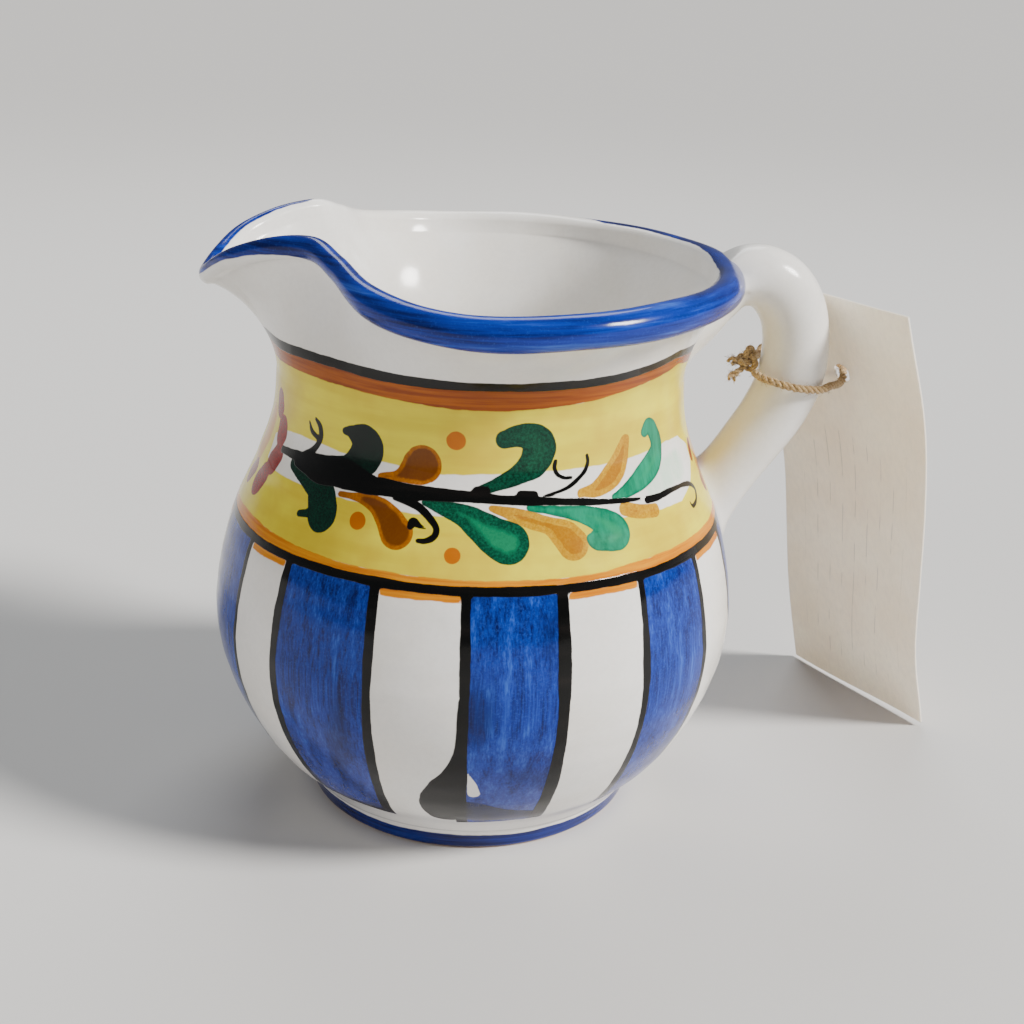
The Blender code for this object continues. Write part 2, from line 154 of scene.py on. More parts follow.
def body_rows():
    """(name, radius per column, height per column) of each row, outside first, over the rim and down the inside."""
    share = spout_share(TURN)
    rim_r, rim_z = rim_at(TURN)
    a = np.radians(TURN)
    bead = (BEAD_R * (1 - share) + LIP_BEAD_R * share) * (1 + 0.03 * np.sin(5 * a + 0.7) + 0.02 * np.sin(11 * a))
    wall = WALL * (1 - share) + LIP_WALL * share
    rows = []
    for z in np.concatenate([LOW_ROWS, VINE_ROWS]):
        r = float(cubic(OUTER_STATIONS, z)[0])
        throw = 0.045 * math.sin(z * 0.93) * math.sin(z * 0.21 + 1.0)
        sway = 0.10 * np.sin(2 * a + z * 0.02) + 0.05 * np.sin(3 * a + 1.3 - z * 0.05)
        fade = min(1.0, (97.0 - z) / 12.0, max(z - 5.3, 0) / 5.0)
        rows.append(("low" if z < 66 else "vine", r + (throw + sway) * fade, np.full(COLUMNS, z)))
    steps = 46
    for i in range(steps + 1):
        r, z = flare(TURN, i / steps)
        rows.append(("flare", r, z))
    for k, degrees in enumerate(np.linspace(-74.0, 154.0, 25)):
        d = math.radians(degrees)
        rows.append(("bead", rim_r + bead * math.cos(d), rim_z + bead * math.sin(d)))
    start = (rim_r - bead * 0.98, rim_z - 0.35 * bead)
    drop = start[1] - NECK_Z
    reach = np.maximum(start[0] - (NECK_R - WALL), 1.0)
    for i in range(27):
        r, z = hermite(
            start, (-(reach * 1.2 + 3.0 * share), -drop * 0.55), (NECK_R - WALL, NECK_Z), (0.0, -drop * 0.95), i / 26
        )
        rows.append(("inside", r, z))
    for z in np.concatenate([np.arange(95.0, 17.0, -2.0), [15.6, 14.4, 13.6]]):
        thick = WALL + 0.6 * max(0.0, (40.0 - z) / 30.0)
        r = float(cubic(OUTER_STATIONS, z)[0]) - thick
        if z < 17:
            r = {15.6: 41.0, 14.4: 40.0, 13.6: 39.2}[round(float(z), 1)]
        rows.append(("inside", np.full(COLUMNS, r + 0.06 * math.sin(z * 0.8)), np.full(COLUMNS, z)))
    for r, z in ((38.0, 12.8), (36.4, 12.1), (34.0, 11.45), (30.0, 11.15), (25.0, 11.0), (18.0, 10.9), (10.0, 10.9), (4.0, 11.0)):
        rows.append(("inside", np.full(COLUMNS, r), np.full(COLUMNS, z)))
    return rows


def mesh_object(name, verts, faces, materials, smooth=True):
    """verts in mm from the axis, as an array; faces as quads and triangles."""
    verts = np.asarray(verts, float).reshape(-1, 3).copy()
    verts[:, 0] += AXIS_X
    mesh = bpy.data.meshes.new(name)
    mesh.from_pydata((verts * MM).tolist(), [], faces)
    mesh.update()
    if smooth:
        mesh.shade_smooth()
    obj = bpy.data.objects.new(name, mesh)
    bpy.context.scene.collection.objects.link(obj)
    for m in materials:
        mesh.materials.append(m)
    return obj


def grid(rows, columns, offset=0, wrap=True, flip=False):
    faces = []
    for r in range(rows - 1):
        base, above = offset + r * columns, offset + (r + 1) * columns
        for c in range(columns if wrap else columns - 1):
            d = (c + 1) % columns
            q = (base + c, base + d, above + d, above + c)
            faces.append(q[::-1] if flip else q)
    return faces


# ------------------------------------------------------------------ painted pattern, as (angle, height, half width)

Z_DENSE = np.linspace(5.0, 97.0, 800)
R_DENSE = cubic(OUTER_STATIONS, Z_DENSE)[0]
ARC_DENSE = np.concatenate([[0.0], np.cumsum(np.hypot(np.diff(Z_DENSE), np.diff(R_DENSE)))])


def arc_of(z):
    z = np.asarray(z, float)
    return np.where(z <= 97.0, np.interp(z, Z_DENSE, ARC_DENSE), ARC_DENSE[-1] + (z - 97.0) * 1.04)


VINE_BLACK = [
    [(203.7, 83.7, 0.82), (213.1, 84.0, 1.25), (221.9, 83.0, 1.64), (232.0, 82.9, 1.84), (240.5, 83.2, 1.74), (245.3, 83.2, 1.6),
     (252.1, 83.1, 1.4), (258.2, 83.1, 1.19), (265.3, 83.0, 1.07), (270.1, 82.7, 0.94), (279.8, 82.2, 0.92), (290.0, 81.4, 0.8),
     (298.4, 80.6, 0.6), (308.0, 79.7, 0.4)],
    [(310.4, 79.1, 0.92), (314.3, 78.9, 0.82), (320.6, 79.0, 0.66), (328.1, 78.5, 0.53), (332.7, 77.5, 0.53), (335.2, 75.8, 0.49),
     (333.3, 74.2, 0.41), (329.8, 73.7, 0.37), (328.9, 74.7, 0.2)],
    [(275.2, 83.4, 0.9), (278.4, 83.3, 0.9)],
    [(212.5, 83.5, 1.5), (217.2, 83.7, 2.3), (222.4, 83.6, 3.0), (229.9, 84.2, 2.8), (238.0, 83.6, 1.5)],
    [(264.6, 84.1, 0.95), (266.7, 84.2, 0.9)],
    [(212.5, 84.0, 0.72), (216.6, 85.8, 0.82), (218.8, 87.5, 0.74), (219.9, 89.5, 0.61), (219.1, 91.5, 0.53), (217.3, 92.6, 0.33)],
    [(214.6, 91.5, 0.25), (216.0, 89.9, 0.45), (218.8, 89.0, 0.53)],
    [(244.8, 81.7, 0.61), (248.7, 81.2, 0.82), (251.8, 80.2, 0.82), (254.1, 78.6, 0.74), (255.5, 77.1, 0.66), (255.2, 75.7, 0.61),
     (253.5, 74.8, 0.53), (251.5, 74.7, 0.41)],
    [(249.4, 77.1, 0.72), (250.0, 77.9, 0.92), (251.5, 77.3, 0.49), (252.9, 77.0, 0.25)],
    [(284.2, 89.4, 0.49), (283.9, 88.1, 0.49), (284.7, 86.8, 0.45), (286.5, 86.1, 0.41), (288.4, 86.0, 0.33)],
    [(293.0, 89.9, 0.37), (293.2, 88.5, 0.45), (292.2, 86.9, 0.49), (290.0, 85.5, 0.47), (287.1, 84.2, 0.45), (283.9, 83.5, 0.41),
     (281.1, 83.0, 0.37)],
]
# each green leaf has a tone: 0 almost black green, 1 light teal
VINE_GREEN = [
    (0.0, [(215.1, 82.8, 1.43), (223.3, 84.0, 2.46), (229.8, 85.0, 2.67), (233.9, 86.9, 3.48), (235.5, 89.4, 3.7), (234.4, 91.2, 3.07),
           (230.6, 92.2, 1.43), (228.3, 92.1, 0.82)]),
    (0.12, [(211.4, 82.6, 1.6), (217.9, 81.6, 2.5), (222.9, 80.2, 3.2), (224.9, 78.0, 3.8), (225.7, 76.0, 3.7), (225.2, 75.1, 2.6)]),
    (0.12, [(222.4, 75.3, 1.02), (218.9, 74.5, 0.7)]),
    (0.3, [(264.8, 84.1, 0.82), (270.1, 85.6, 1.43), (275.0, 87.4, 2.05), (278.8, 89.5, 3.07), (280.0, 92.3, 3.4), (278.7, 94.1, 2.87),
           (274.8, 94.6, 2.25), (271.1, 93.9, 1.74)]),
    (0.5, [(252.3, 81.5, 0.72), (257.2, 80.7, 1.43), (262.0, 79.6, 2.25), (266.0, 77.7, 3.07), (270.0, 75.7, 3.89), (271.8, 75.0, 4.1)]),
    (0.95, [(300.1, 81.2, 0.82), (305.4, 82.1, 1.64), (310.7, 83.6, 2.46), (315.7, 85.5, 2.67), (318.2, 88.0, 2.15), (317.4, 90.8, 1.84),
            (314.7, 93.1, 1.54), (313.3, 92.1, 1.33)]),
    (0.9, [(277.2, 81.1, 0.61), (284.6, 80.2, 1.23), (290.9, 79.0, 1.84), (296.0, 77.1, 2.67), (299.1, 74.9, 3.07), (297.0, 73.8, 2.25),
           (293.3, 74.1, 1.84), (291.8, 74.6, 1.02)]),
]
VINE_WASH = [[(313.2, 80.8, 1.84), (321.6, 82.4, 3.07), (327.8, 82.6, 3.1)]]
VINE_OCHRE = [
    [(240.1, 85.1, 0.61), (244.8, 85.7, 1.23), (248.6, 87.1, 2.8), (250.6, 88.2, 3.8)],
    [(229.8, 80.3, 0.61), (235.7, 80.5, 1.02), (240.6, 79.7, 1.84), (243.8, 78.0, 2.67), (246.3, 75.6, 3.28)],
    [(268.2, 81.1, 0.61), (272.4, 80.2, 1.23), (277.1, 79.0, 1.64), (281.8, 77.7, 1.84), (285.2, 75.9, 2.87), (286.9, 74.2, 3.28)],
    [(290.8, 82.8, 1.02), (295.4, 83.3, 1.64), (300.1, 85.1, 2.46), (302.9, 87.4, 2.25), (304.5, 90.0, 1.64), (305.3, 91.4, 1.23)],
    [(302.5, 78.7, 1.5), (307.2, 77.5, 1.5), (312.4, 76.8, 1.5)],
]
VINE_DOTS = [[(259.0, 93.4, 1.84)], [(236.2, 76.4, 1.74)], [(259.6, 72.6, 1.64)]]
VINE_RED = [
    [(195.6, 92.6, 2.1), (196.2, 90.9, 2.4)],
    [(200.2, 87.6, 2.5), (200.6, 86.2, 2.7)],
    [(201.9, 82.3, 2.5), (200.2, 80.3, 2.9)],
    [(197.6, 77.3, 2.5), (195.6, 75.0, 3.0)],
    [(188.5, 76.4, 1.9), (186.2, 74.4, 2.4)],
    [(342.6, 83.6, 1.5), (341.0, 81.4, 1.3)],
]
VINE_AMBER = [[(190.5, 88.0, 2.2), (188.5, 84.0, 3.2), (186.5, 79.5, 3.0)]]
GAP_TOP = [
    (195.0, 85.0), (201.9, 87.2), (210.6, 88.2), (219.7, 88.2), (228.9, 87.7), (240.9, 87.7), (255.4, 86.9), (265.2, 87.2),
    (280.1, 87.4), (296.8, 87.6), (310.8, 87.8), (323.0, 88.2), (332.0, 87.6), (340.0, 84.0),
]
GAP_LOW = [
    (195.0, 80.5), (201.8, 79.3), (216.6, 79.5), (230.3, 79.8), (246.5, 79.5), (253.8, 79.3), (265.4, 79.3), (284.4, 79.0),
    (300.5, 77.3), (314.2, 76.6), (325.0, 76.0), (332.4, 77.5), (340.0, 82.0),
]
UPPER_LINE = [(150.0, 105.6), (196.6, 105.0), (208.0, 105.3), (225.4, 105.6), (270.0, 105.7), (288.0, 105.8), (299.0, 106.2),
              (312.0, 107.0), (321.0, 107.9), (340.0, 106.4), (360.0, 105.6)]
UPPER_ORANGE = [(150.0, 100.4), (194.0, 100.3), (209.0, 100.8), (226.0, 100.8), (239.0, 100.4), (250.0, 99.9), (260.0, 99.5),
                (270.0, 99.6), (280.0, 99.8), (290.0, 100.3), (302.0, 101.5), (317.0, 102.9), (326.0, 104.0), (345.0, 101.5), (360.0, 100.4)]
LOWER_ORANGE = [(150.0, 69.0), (182.0, 68.8), (198.0, 69.6), (206.0, 69.5), (222.6, 69.0), (234.0, 68.8), (270.0, 68.6),
                (292.0, 68.6), (303.0, 69.1), (340.0, 69.2), (360.0, 69.0)]
LOWER_LINE_TOP, LOWER_LINE_LOW = 67.45, 65.7
# blue stripes: left and right outline's angle at the top, and half widths of the outlines
STRIPES = [
    (184.0, 205.3, 0.9, 0.75), (220.8, 243.6, 1.05, 1.0), (263.0, 283.3, 1.0, 1.3), (302.6, 321.9, 0.9, 0.8), (341.0, 360.5, 0.95, 1.0),
    (17.5, 39.0, 1.1, 0.9), (57.5, 79.5, 0.9, 1.1), (98.5, 120.5, 1.0, 0.9), (140.0, 162.0, 0.95, 1.05),
]
VINES = [(270.0, 1.0), (88.0, 1.2)]  # the same vine again round the back: middle angle and stretch


def smooth_stroke(points, per=5):
    if len(points) < 3:
        return np.array(points, float)
    n = (len(points) - 1) * per + 1
    return along(points, np.linspace(0, 1, n))


def wrap(d):
    return (d + 180.0) % 360.0 - 180.0


class Paint:
    """Signed distances in mm to each colour's strokes, positive inside, at the body's outside points."""

    def __init__(self, turn, z, radius):
        self.turn, self.z, self.radius = turn, z, radius
        self.arc = arc_of(z)
        self.layers = {}

    def layer(self, name):
        if name not in self.layers:
            self.layers[name] = np.full(self.turn.shape, -4.0)
        return self.layers[name]

    def add(self, name, value, where=slice(None)):
        layer = self.layer(name)
        layer[where] = np.maximum(layer[where], value)

    def stroke_value(self, points, pad=4.0, per=5):
        pts = smooth_stroke(points, per)
        mid = pts[len(pts) // 2, 0]
        reach = np.abs(wrap(pts[:, 0] - mid)).max()
        pad_deg = math.degrees((pad + pts[:, 2].max()) / 40.0)
        arcs = arc_of(pts[:, 1])
        near = (np.abs(wrap(self.turn - mid)) < reach + pad_deg) & (self.arc > arcs.min() - pad - 4) & (
            self.arc < arcs.max() + pad + 4
        )
        idx = np.nonzero(near)
        r, t, a = self.radius[idx], self.turn[idx], self.arc[idx]
        best = np.full(r.shape, -4.0)
        x = [np.radians(wrap(p - t)) * r for p in pts[:, 0]]
        y = [p - a for p in arcs]
        if len(pts) == 1:
            best = pts[0, 2] - np.hypot(x[0], y[0])
        for i in range(len(pts) - 1):
            dx, dy = x[i + 1] - x[i], y[i + 1] - y[i]
            s = np.clip(-(x[i] * dx + y[i] * dy) / np.maximum(dx * dx + dy * dy, 1e-9), 0, 1)
            d = np.hypot(x[i] + s * dx, y[i] + s * dy)
            best = np.maximum(best, pts[i, 2] + s * (pts[i + 1, 2] - pts[i, 2]) - d)
        return idx, best

    def stroke(self, name, points, tone=None):
        idx, value = self.stroke_value(points)
        self.add(name, value, idx)
        if tone is not None:
            t = self.layer("tone")
            inside = value > self.layer("tone_reach")[idx]
            t[idx] = np.where(inside, tone, t[idx])
            self.layer("tone_reach")[idx] = np.maximum(self.layer("tone_reach")[idx], value)


def vine_turn(points, middle, stretch):
    return [(middle + (p[0] - 270.0) * stretch, *p[1:]) for p in points]


def paint_pattern(turn, z, radius, stations=None):
    p = Paint(turn, z, radius)
    p.layer("tone")[...] = 0.5
    arc = p.arc
    z_of = p.z
    line_top = np.interp(turn, *zip(*UPPER_LINE), period=360)
    line_low = line_top - 1.95 + 0.12 * np.sin(np.radians(turn * 7))
    orange_low = np.interp(turn, *zip(*UPPER_ORANGE), period=360)
    p.add("black", np.minimum(line_top - z_of, z_of - line_low))
    p.add("orange", np.minimum(line_low + 0.4 - z_of, z_of - orange_low))
    lower_wave = 0.12 * np.sin(np.radians(turn * 3 + 40)) + 0.07 * np.sin(np.radians(turn * 8))
    top, low = arc_of(LOWER_LINE_TOP) + lower_wave, arc_of(LOWER_LINE_LOW) + 0.7 * lower_wave
    p.add("black", np.minimum(top - arc, arc - low))
    orange_top = np.interp(turn, *zip(*LOWER_ORANGE), period=360)
    p.add("amber", np.minimum(arc_of(orange_top) - arc, arc - top + 0.4))
    yellow = np.minimum(arc_of(orange_low) + 0.3 - arc, arc - arc_of(orange_top) + 0.3)
    gap = np.full(turn.shape, -4.0)
    for middle, stretch in VINES:
        local = 270.0 + wrap(turn - middle) / stretch
        up = np.interp(local, *zip(*GAP_TOP))
        dn = np.interp(local, *zip(*GAP_LOW))
        inside = np.minimum(arc_of(up) - arc, arc - arc_of(dn))
        ends = np.minimum(local - 196.0, 339.0 - local) * 0.8
        gap = np.maximum(gap, np.minimum(inside, ends))
    p.add("yellow", np.minimum(yellow, -gap))

    for middle, stretch in VINES:
        for tone, pts in VINE_GREEN:
            p.stroke("green", vine_turn(pts, middle, stretch), tone)
        # the first two ochre leaves take a darker copy of the ochre as painted shade, the others a lighter copy as
        # painted light
        for name, group in (("black", VINE_BLACK), ("shaded_ochre", VINE_OCHRE[:2]), ("lit_ochre", VINE_OCHRE[2:]), ("wash", VINE_WASH), ("dots", VINE_DOTS),
                            ("red", VINE_RED), ("glow", VINE_AMBER)):
            for pts in group:
                p.stroke(name, vine_turn(pts, middle, stretch))

    under = LOWER_LINE_LOW + 0.3
    for k, (left, right, wl, wr) in enumerate(STRIPES):
        middle = (left + right) / 2
        local = wrap(turn - middle)
        half = (right - left) / 2
        lean = 0.9 * np.sin((z_of - 20) / 46 * math.pi) * (0.5 if k % 2 else -0.4)
        bow = 0.5 * np.clip((26 - z_of) / 16, 0, 1) ** 2
        dl = (local + half + lean - bow) * np.pi / 180 * radius
        dr = (half - local + lean * 0.6 - bow) * np.pi / 180 * radius
        foot_edge = 10.6 + 0.5 * np.sin(np.radians(turn * 5 + 60 * k))
        tall = np.minimum(arc_of(under) - arc, arc - arc_of(foot_edge))
        p.add("blue", np.minimum(np.minimum(dl, dr), tall))
        wide = 1 + 0.35 * np.clip((24 - z_of) / 14, 0, 1)
        for d, w in ((dl, wl), (dr, wr)):
            p.add("black", np.minimum(w * wide * (1 + 0.1 * np.sin(z_of * 0.23 + k)) - np.abs(d), tall))
        if k != 2:
            p.add("black", np.minimum(np.minimum(dl, dr) + 0.4, np.minimum(arc_of(foot_edge + 1.6) - arc, arc - arc_of(foot_edge))))
        following = STRIPES[(k + 1) % len(STRIPES)]
        start, stop = right + 1.2, following[0] - 1.0
        if stop < start:
            stop += 360
        mid2, half2 = (start + stop) / 2, (stop - start) / 2
        d2 = (half2 - np.abs(wrap(turn - mid2))) * np.pi / 180 * radius
        p.add("amber", np.minimum(d2, np.minimum(low + 0.3 - arc, arc - low + 1.3)))
    # the brush flares out under the third outline, a wedge stays bare, and one wide translucent stroke closes the middle stripe
    for pts in (
        [(262.9, 46.0, 0.8), (262.65, 37.3, 0.8), (262.1, 31.7, 1.4), (261.1, 27.0, 2.6), (259.7, 23.6, 3.8), (258.7, 20.0, 4.6),
         (258.8, 17.2, 4.6), (259.5, 15.0, 4.1)],
    ):
        p.stroke("black", pts)
    idx, wedge = p.stroke_value([(264.4, 28.6, 0.25), (265.3, 25.6, 0.9), (265.9, 22.6, 1.2)])
    p.layer("blue")[idx] = np.minimum(p.layer("blue")[idx], -wedge)
    p.stroke("smear", [(265.0, 15.9, 4.6), (272.0, 14.4, 3.3), (281.5, 13.6, 1.7)])
    return {k: np.clip(v, -2.0, 4.5) for k, v in p.layers.items() if k != "tone_reach"}


# ------------------------------------------------------------------ materials


class Net:
    """A short way to lay out a node tree."""

    def __init__(self, name):
        self.mat = bpy.data.materials.new(name)
        self.mat.use_nodes = True
        self.tree = self.mat.node_tree
        self.shader = self.tree.nodes["Principled BSDF"]
        self.x = -300

    def node(self, kind, **settings):
        n = self.tree.nodes.new("ShaderNode" + kind)
        self.x -= 20
        n.location = (self.x, 0)
        for key, value in settings.items():
            setattr(n, key, value)
        return n

    def put(self, value, socket):
        if isinstance(value, bpy.types.NodeSocket):
            self.tree.links.new(value, socket)
        elif isinstance(value, (tuple, list)):
            socket.default_value = tuple(value) if len(value) == len(socket.default_value) else (*value, 1.0)
        else:
            socket.default_value = value

    def math(self, op, a, b=0.0, c=0.0, clamp=False):
        n = self.node("Math", operation=op, use_clamp=clamp)
        for i, v in enumerate((a, b, c)):
            self.put(v, n.inputs[i])
        return n.outputs[0]

    def ramp(self, value, low, high, to_low=0.0, to_high=1.0, smooth=True):
        n = self.node("MapRange", interpolation_type="SMOOTHSTEP" if smooth else "LINEAR", clamp=True)
        for i, v in enumerate((value, low, high, to_low, to_high)):
            self.put(v, n.inputs[i])
        return n.outputs[0]

    def mix(self, factor, a, b, blend="MIX"):
        n = self.node("Mix", data_type="RGBA", blend_type=blend, clamp_factor=True)
        self.put(factor, n.inputs[0])
        self.put(a, n.inputs[6])
        self.put(b, n.inputs[7])
        return n.outputs[2]

    def attribute(self, name):
        return self.node("Attribute", attribute_name=name).outputs["Fac"]

    def coords(self):
        if not hasattr(self, "co"):
            self.co = self.node("TexCoord").outputs["Object"]
        return self.co

    def scaled(self, sx, sy, sz, vector=None, offset=(0, 0, 0)):
        n = self.node("Mapping")
        self.put(vector or self.coords(), n.inputs["Vector"])
        n.inputs["Scale"].default_value = (sx, sy, sz)
        n.inputs["Location"].default_value = offset
        return n.outputs[0]

    def noise(self, vector, scale=1.0, detail=3.0, rough=0.55, distortion=0.0):
        n = self.node("TexNoise")
        self.put(vector, n.inputs["Vector"])
        n.inputs["Scale"].default_value = scale
        n.inputs["Detail"].default_value = detail
        n.inputs["Roughness"].default_value = rough
        n.inputs["Distortion"].default_value = distortion
        return n.outputs["Fac"]

    def voronoi(self, vector, scale=1.0, feature="F1", randomness=1.0):
        n = self.node("TexVoronoi", feature=feature)
        self.put(vector, n.inputs["Vector"])
        n.inputs["Scale"].default_value = scale
        n.inputs["Randomness"].default_value = randomness
        return n.outputs["Distance"]

    def bump(self, height, distance, strength=1.0, normal=None):
        n = self.node("Bump")
        self.put(height, n.inputs["Height"])
        n.inputs["Distance"].default_value = distance
        n.inputs["Strength"].default_value = strength
        if normal is not None:
            self.put(normal, n.inputs["Normal"])
        return n.outputs[0]

    def axis(self, which):
        if not hasattr(self, "sep"):
            self.sep = self.node("SeparateXYZ")
            self.put(self.coords(), self.sep.inputs[0])
        return self.sep.outputs[which]


def srgb(r, g, b):
    def one(c):
        c /= 255.0
        return c / 12.92 if c <= 0.04045 else ((c + 0.055) / 1.055) ** 2.4

    return (one(r), one(g), one(b))


WHITE = srgb(242, 240, 236)
WHITE_WARM = srgb(236, 232, 224)
BLACK = srgb(3, 3, 2)
BLACK_THIN = srgb(34, 28, 26)


def tin_white(net):
    """Opaque tin white: cloudy, with a few pinholes and iron specks. Returns (colour, speck mask)."""
    cloud = net.noise(net.scaled(1, 1, 1), 38.0, 4.0)
    white = net.mix(net.ramp(cloud, 0.35, 0.7), WHITE, WHITE_WARM)
    fine = net.noise(net.coords(), 900.0, 2.0)
    white = net.mix(net.ramp(fine, 0.3, 0.75, 0.0, 0.12), white, srgb(205, 203, 200))
    cell = net.voronoi(net.coords(), 62.0)
    rare = net.noise(net.coords(), 45.0, 1.0)
    size = net.ramp(rare, 0.62, 0.78, 0.0, 0.026)
    speck = net.math("LESS_THAN", cell, size)
    white = net.mix(net.math("MULTIPLY", speck, 0.6), white, srgb(120, 104, 92))
    return white, speck


def glaze_finish(net, height=None, bump_mm=0.05):
    rough = net.noise(net.coords(), 120.0, 3.0)
    net.put(net.ramp(rough, 0.3, 0.7, 0.13, 0.21), net.shader.inputs["Roughness"])
    net.shader.inputs["Coat Weight"].default_value = 0.06
    net.shader.inputs["Coat Roughness"].default_value = 0.06
    net.shader.inputs["IOR"].default_value = 1.5
    net.shader.inputs["Specular IOR Level"].default_value = 0.26
    broad = net.noise(net.coords(), 95.0, 2.0)
    normal = net.bump(broad, 0.00035, 0.35)
    orange_peel = net.noise(net.coords(), 700.0, 2.0)
    normal = net.bump(orange_peel, 0.00003, 0.35, normal)
    if height is not None:
        normal = net.bump(height, bump_mm * MM, 0.8, normal)
    net.put(normal, net.shader.inputs["Normal"])
    net.put(normal, net.shader.inputs["Coat Normal"])


def body_material():
    net = Net("painted_tin_glaze")
    white, speck = tin_white(net)
    wob = net.noise(net.coords(), 420.0, 3.0)
    wob_big = net.noise(net.coords(), 130.0, 2.0)
    wobble = net.math("ADD", net.math("MULTIPLY", net.math("SUBTRACT", wob, 0.5), 0.34),
                      net.math("MULTIPLY", net.math("SUBTRACT", wob_big, 0.5), 0.7))

    def mask(name, soft=0.10, wobbly=1.0, shift=0.0):
        d = net.math("ADD", net.attribute(name), net.math("MULTIPLY_ADD", wobble, wobbly, shift))
        return net.ramp(d, -soft, soft)

    upright = net.noise(net.scaled(2600.0, 2600.0, 70.0), 1.0, 4.0, 0.62)  # brush hairs pulled down the wall
    upright_wide = net.noise(net.scaled(420.0, 420.0, 16.0), 1.0, 3.0, 0.6)
    level = net.noise(net.scaled(60.0, 60.0, 1500.0), 1.0, 4.0, 0.6)  # brush hairs pulled round the wheel
    level_wide = net.noise(net.scaled(24.0, 24.0, 260.0), 1.0, 3.0, 0.6)
    grain = net.noise(net.coords(), 2100.0, 2.0, 0.7)
    patch = net.noise(net.coords(), 70.0, 3.0)
    height_z = net.axis(2)

    # yellow wash
    yellow_m = mask("yellow", 0.16)
    yellow = net.mix(net.ramp(level_wide, 0.32, 0.68), srgb(222, 202, 0), srgb(236, 222, 24))
    yellow = net.mix(net.ramp(patch, 0.35, 0.7, 0.0, 0.6), yellow, srgb(200, 164, 0))
    colour = net.mix(net.math("MULTIPLY", yellow_m, 0.97), white, yellow)

    # pale green wash and brown-orange glow
    wash_m = mask("wash", 0.9, 1.5)
    colour = net.mix(net.math("MULTIPLY", wash_m, net.ramp(upright_wide, 0.3, 0.7, 0.25, 0.6)), colour, srgb(176, 222, 190))
    glow_m = mask("glow", 0.5, 1.5)
    colour = net.mix(net.math("MULTIPLY", glow_m, 0.8), colour, srgb(206, 128, 30))

    # orange lines
    orange_m = mask("orange", 0.12)
    orange = net.mix(net.ramp(level, 0.3, 0.7), srgb(132, 58, 0), srgb(170, 88, 0))
    orange = net.mix(net.ramp(level_wide, 0.4, 0.75, 0.0, 0.5), orange, srgb(112, 44, 0))
    colour = net.mix(orange_m, colour, orange)
    amber_m = mask("amber", 0.12)
    amber = net.mix(net.ramp(level, 0.3, 0.7), srgb(196, 110, 0), srgb(222, 146, 4))
    colour = net.mix(amber_m, colour, amber)

    # ochre leaves: translucent, a darker second stroke in the middle. The left-hand leaves take a darker copy of the
    # ochre as painted shade; the right-hand leaves take the lighter copy below as painted light
    shaded_ochre_d = net.attribute("shaded_ochre")
    shaded_ochre_m = mask("shaded_ochre", 0.10, 0.8)
    shaded_ochre = net.mix(net.ramp(grain, 0.3, 0.7), srgb(150, 84, 0), srgb(180, 106, 0))
    shaded_ochre = net.mix(net.ramp(upright_wide, 0.3, 0.7, 0.0, 0.5), shaded_ochre, srgb(122, 64, 0))
    inner = net.math("ADD", shaded_ochre_d, net.math("MULTIPLY", wobble, 2.0))
    shaded_ochre = net.mix(net.ramp(inner, 0.55, 1.1, 0.0, 0.85), shaded_ochre, srgb(92, 44, 0))
    colour = net.mix(net.math("MULTIPLY", shaded_ochre_m, 0.995), colour, shaded_ochre)
    # lighter copy of the same ochre for the right-hand leaves: painted light, paired with the painted shade of the
    # left-hand leaves above
    lit_ochre_m = mask("lit_ochre", 0.10, 0.8)
    lit_ochre = net.mix(net.ramp(grain, 0.3, 0.7), srgb(178, 128, 8), srgb(204, 158, 30))
    lit_ochre = net.mix(net.ramp(upright_wide, 0.35, 0.7, 0.0, 0.45), lit_ochre, srgb(160, 100, 0))
    inner = net.math("ADD", net.attribute("lit_ochre"), net.math("MULTIPLY", wobble, 2.0))
    lit_ochre = net.mix(net.ramp(inner, 1.15, 1.4, 0.0, 0.6), lit_ochre, srgb(150, 84, 0))
    colour = net.mix(net.math("MULTIPLY", lit_ochre_m, 0.99), colour, lit_ochre)
    dots_m = mask("dots", 0.10, 0.8)
    dot = net.mix(net.ramp(patch, 0.3, 0.7), srgb(156, 78, 0), srgb(184, 100, 0))
    colour = net.mix(dots_m, colour, dot)

    # green leaves
    green_d = net.attribute("green")
    green_m = mask("green", 0.10, 0.9)
    tone = net.attribute("tone")
    dark = net.mix(net.ramp(patch, 0.35, 0.7), srgb(1, 8, 6), srgb(2, 32, 22))
    light = net.mix(net.ramp(upright_wide, 0.3, 0.7), srgb(0, 108, 76), srgb(14, 146, 108))
    middle = net.mix(net.ramp(grain, 0.25, 0.75), srgb(0, 48, 33), srgb(2, 82, 56))
    green = net.mix(net.ramp(tone, 0.05, 0.5, smooth=False), dark, middle)
    green = net.mix(net.ramp(tone, 0.5, 0.95, smooth=False), green, light)
    green = net.mix(net.math("MULTIPLY", net.ramp(grain, 0.35, 0.8, 0.0, 0.3), net.math("ADD", tone, 0.15)), green, srgb(30, 130, 96))
    thin = net.math("ADD", green_d, net.math("MULTIPLY", wobble, 2.2))
    pool = net.math("MULTIPLY", net.ramp(thin, 1.5, 2.8), net.math("MULTIPLY", net.ramp(tone, 0.25, 0.5), 0.5))
    green = net.mix(pool, green, srgb(30, 148, 100))
    rim_dark = net.ramp(thin, 0.0, 0.7, 0.35, 0.0)
    green = net.mix(rim_dark, green, srgb(0, 26, 19))
    colour = net.mix(green_m, colour, green)

    # red petals
    red_m = mask("red", 0.12)
    red = net.mix(net.ramp(grain, 0.3, 0.7), srgb(104, 6, 4), srgb(150, 18, 10))
    colour = net.mix(red_m, colour, red)

